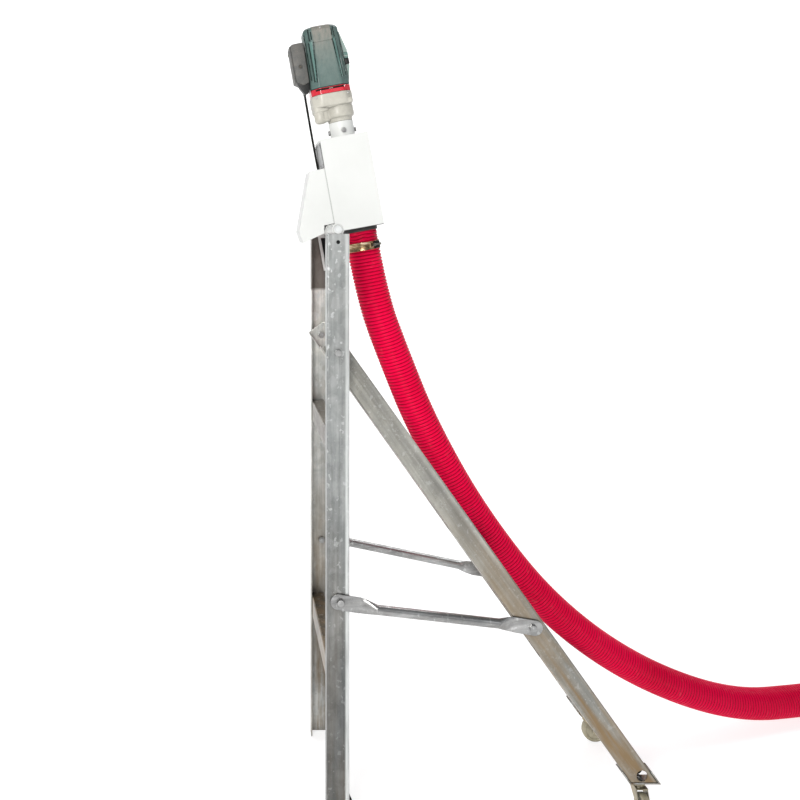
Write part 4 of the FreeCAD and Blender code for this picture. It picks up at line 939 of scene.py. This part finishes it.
# caps in the ends of the cross tube
for s, nm in ((-1, "near"), (1, "far")):
    g = Build()
    W = Matrix.Translation((0, s * 251.4, 1673.5)) @ Matrix.Rotation(s * -math.pi / 2, 4, "X")
    g.lathe([(0, 1.0), (7.6, 0.9), (8.3, 1.5), (9.6, 1.7), (10.5, 1.2), (10.8, 0.0), (9.3, 0.0), (9.3, -8), (0, -8)], 40, W)
    g.make("tube_cap_" + nm, [M["cap_grey"]], "stand", MM, slot="white_paint", sharp=35)

# dark sheet between the far ear and its leg: painted shadow on the ear
g = Build()
g.slab([(2.4, 1648), (17.4, 1648), (17.8, 1545), (13.4, 1592)], 241.6, 242.4, 0.2, 1)
g.make("ear_shadow_sheet", [M["void"]], "stand", MM, slot="rubber", smooth=False)

# dark cups behind the holes at the feet of the rear legs: painted shade for the unlit holes
for s, nm in ((-1, "near"), (1, "far")):
    g = Build()
    W = Matrix.Translation((865, s * 168.2, 128)) @ Matrix.Rotation(s * -math.pi / 2, 4, "X")
    g.lathe([(0, -1.2), (12, -1.2), (17, -0.6), (19, 0.4), (19.6, 0.4), (19.6, -2.2), (0, -2.2)], 40, W)
    g.make("foot_hole_shade_" + nm, [M["void"]], "rear_frame", MM, slot="zinc", sharp=35)

# worm-drive bands
def clamp(name, node, where, z0, turn):
    g = Build()
    R0, R1, W2 = 50.35, 51.7, 12.4
    g.lathe([(R0, z0 - W2), (R1 + 0.25, z0 - W2), (R1 + 0.4, z0 - W2 + 0.9), (R1, z0 - W2 + 1.8), (R1, z0 + W2 - 1.8),
             (R1 + 0.4, z0 + W2 - 0.9), (R1 + 0.25, z0 + W2), (R0, z0 + W2)], 96, None, 0, closed=True)
    T_ = Matrix.Rotation(math.radians(turn), 4, "Z")
    g.slab([(51.0, z0 - 11.6), (57.6, z0 - 10.4), (58.8, z0), (57.6, z0 + 10.4), (51.0, z0 + 11.6)], -10, 10, 1.2, 3, T_, 2)
    sc = T_ @ Matrix.Translation((56.2, -19.5, z0)) @ Matrix.Rotation(-math.pi / 2, 4, "X")
    g.lathe([(0, 0), (4.6, 0), (5.2, 0.6), (5.2, 4.6), (3.4, 5.0), (3.4, 34.5), (0, 35.0)], 24, sc, 1)
    g.hexhead(9.0, 4.0, T_ @ Matrix.Translation((56.2, -20.5, z0)) @ Matrix.Rotation(-math.pi / 2, 4, "X"), 1)
    n_ = 30
    for i in range(n_):
        a = math.radians(turn) + math.pi * (0.14 + 0.5 * i / n_)
        q = Matrix.Rotation(a, 4, "Z") @ Matrix.Translation((51.75, 0, z0))
        g.slab([(-0.3, -5.2), (0.16, -5.2), (0.16, 5.2), (-0.3, 5.2)], -0.85, 0.85, 0.1, 1, q, 1)
    return g.make(name, [M["bronze"], M["dark_zinc"], M["void"]], "stand", where, replaces=(node,), slot="bronze_band", sharp=35)


clamp("upper_band", "hose_clamp", HEAD @ Matrix.Translation((95.75, 0, 0)), -67.5, -46)

# cast wheels
def wheel(name, body, node, centre, axis):
    w = Build()
    R, Wd = 41.0, 11.0
    pr = [(4.1, -10.6), (4.4, -11), (11.4, -11), (12, -10.4), (12.6, -8.2), (14, -7.4), (28, -7.2), (30, -7.8), (31, -9.4),
          (32, -10.0), (37.6, -9.8), (39.4, -8.8), (40.6, -6.6), (40.98, -3), (41.0, 0)]
    pr = pr + [(r_, -z_) for r_, z_ in reversed(pr[:-1])]
    w.lathe(pr, 72, None, 0, closed=True)
    rot = Matrix.Rotation(math.pi / 2, 4, "Y") if axis == "X" else Matrix.Rotation(math.pi / 2, 4, "X")
    return w.make(name, [M["nylon"]], body, MM @ Matrix.Translation(centre) @ rot, replaces=(node,), slot="nylon", sharp=35)


wheel("near_wheel", "wheel_near", "caster_wheel_near", (865, -215.5, 41), "X")
wheel("far_wheel", "wheel_far", "caster_wheel_far", (894, 186.5, 41), "Y")

# --------------------------------------------------- finishes of CAD pieces
dress(M["legs"], "front_leg_near")
dress(M["inner"], "front_leg_far", "rear_leg_far", "caster_brackets")
dress(M["rung"], "front_rungs")
dress(M["rear"], "rear_leg_near", "rear_rungs")
dress(M["rod"], "tie_rod_near", "tie_rod_far")
dress(M["zinc"], "frame_bolts", "pivot_spacers", "frame_nuts", "collar_bolts", "caster_kingpins")
dress(M["dark_zinc"], "terminal_screws")
dress(M["yellow_zinc"], "caster_fork_near", "caster_fork_far")
dress(M["white"], "head_cross_tube", "head_ears", "discharge_box", "discharge_spout", "box_collar", "hose_spigot")
dress(M["steel"], "shaft_bearings", "stator", "armature_core", "armature_shaft", "layshaft", "layshaft_gear",
      "output_gear", "output_spindle", "drive_coupling", "head_auger", "intake_tip_auger")
dress(M["cage"], "intake_cage", "intake_collar")
dress(M["cream"], "gearbox_plate")
dress(M["copper"], "brush_gear", "commutator")
dress(M["black"], "rocker_switch", "cooling_fan")
dress(M["rubber"], "shaft_seal")
dress(M["bronze"], "intake_clamp")

# ------------------------------------------------------- floor, sky, lights
k = Mat("pale_floor")
sm_ = k.noise(1.5, 3, 0.5)
floor_mat = k.finish(k.mix(k.span(sm_, 0.3, 0.7), (0.38, 0.38, 0.378), (0.42, 0.42, 0.418)), 0.85, Emission_Color=(1, 1, 1, 1), Emission_Strength=0.74)
fm = bpy.data.meshes.new("floor")
prof = [(-9.0, 0.0), (3.2, 0.0)]
for i in range(1, 13):
    a = math.pi / 2 * i / 12
    prof.append((3.2 + 1.6 * math.sin(a), 1.6 - 1.6 * math.cos(a)))
prof.append((4.8, 9.0))
fv, ff = [], []
for y, z in prof:
    fv += [(-12, y, z), (12, y, z)]
for i in range(len(prof) - 1):
    ff.append((2 * i, 2 * i + 1, 2 * i + 3, 2 * i + 2))
fm.from_pydata(fv, [], ff)
fm.polygons.foreach_set("use_smooth", [True] * len(fm.polygons))
fm.materials.append(floor_mat)
fo = bpy.data.objects.new("floor", fm)
col.objects.link(fo)

world = bpy.data.worlds.new("sky")
scene.world = world
world.use_nodes = True
wn = world.node_tree
wn.nodes.clear()
wo = wn.nodes.new("ShaderNodeOutputWorld")
bg = wn.nodes.new("ShaderNodeBackground")
tc = wn.nodes.new("ShaderNodeTexCoord")
sx = wn.nodes.new("ShaderNodeSeparateXYZ")
rp = wn.nodes.new("ShaderNodeValToRGB")
mr = wn.nodes.new("ShaderNodeMapRange")
mr.inputs["From Min"].default_value = -1
wn.links.new(tc.outputs["Generated"], sx.inputs["Vector"])
wn.links.new(sx.outputs["Z"], mr.inputs["Value"])
wn.links.new(mr.outputs["Result"], rp.inputs["Fac"])
el = rp.color_ramp.elements
el[0].position, el[0].color = 0.0, (0.50, 0.42, 0.33, 1)
el[1].position, el[1].color = 1.0, (0.36, 0.38, 0.42, 1)
for p_, c_ in ((0.47, (0.78, 0.72, 0.64, 1)), (0.52, (1.05, 1.06, 1.08, 1)), (0.66, (0.70, 0.73, 0.78, 1))):
    e = el.new(p_)
    e.color = c_
wn.links.new(rp.outputs["Color"], bg.inputs["Color"])
bg.inputs["Strength"].default_value = 0.26
wn.links.new(bg.outputs["Background"], wo.inputs["Surface"])


def area(name, loc, target, size, power, colour=(1, 1, 1)):
    ld = bpy.data.lights.new(name, "AREA")
    ld.shape = "RECTANGLE"
    ld.size, ld.size_y = size
    ld.energy = power
    ld.color = colour
    lo = bpy.data.objects.new(name, ld)
    col.objects.link(lo)
    lo.location = loc
    lo.rotation_euler = (Vector(target) - Vector(loc)).to_track_quat("-Z", "Y").to_euler()
    return lo


area("key", (-2.3, -4.6, 2.9), (-0.1, 0, 1.1), (1.5, 1.5), 205, (1.0, 0.985, 0.96))
area("fill", (3.4, -3.0, 2.4), (0.0, 0, 1.0), (2.0, 2.0), 22, (0.96, 0.98, 1.0))
area("front", (-1.4, -5.4, 2.1), (0.0, 0, 1.3), (3.0, 2.0), 22, (1.0, 1.0, 1.0))
area("top", (0.3, 0.6, 4.6), (0.0, 0, 1.0), (3.0, 3.0), 10, (1.0, 1.0, 1.0))
area("backdrop", (0.5, 1.6, 4.4), (0.5, 4.6, 1.2), (5.0, 1.2), 150, (1.0, 1.0, 1.0))

scene.render.engine = "CYCLES"
scene.view_settings.view_transform = "Standard"
scene.view_settings.look = "None"
scene.view_settings.exposure = 0.0
scene.cycles.samples = 160
scene.cycles.use_denoising = True
scene.cycles.max_bounces = 8
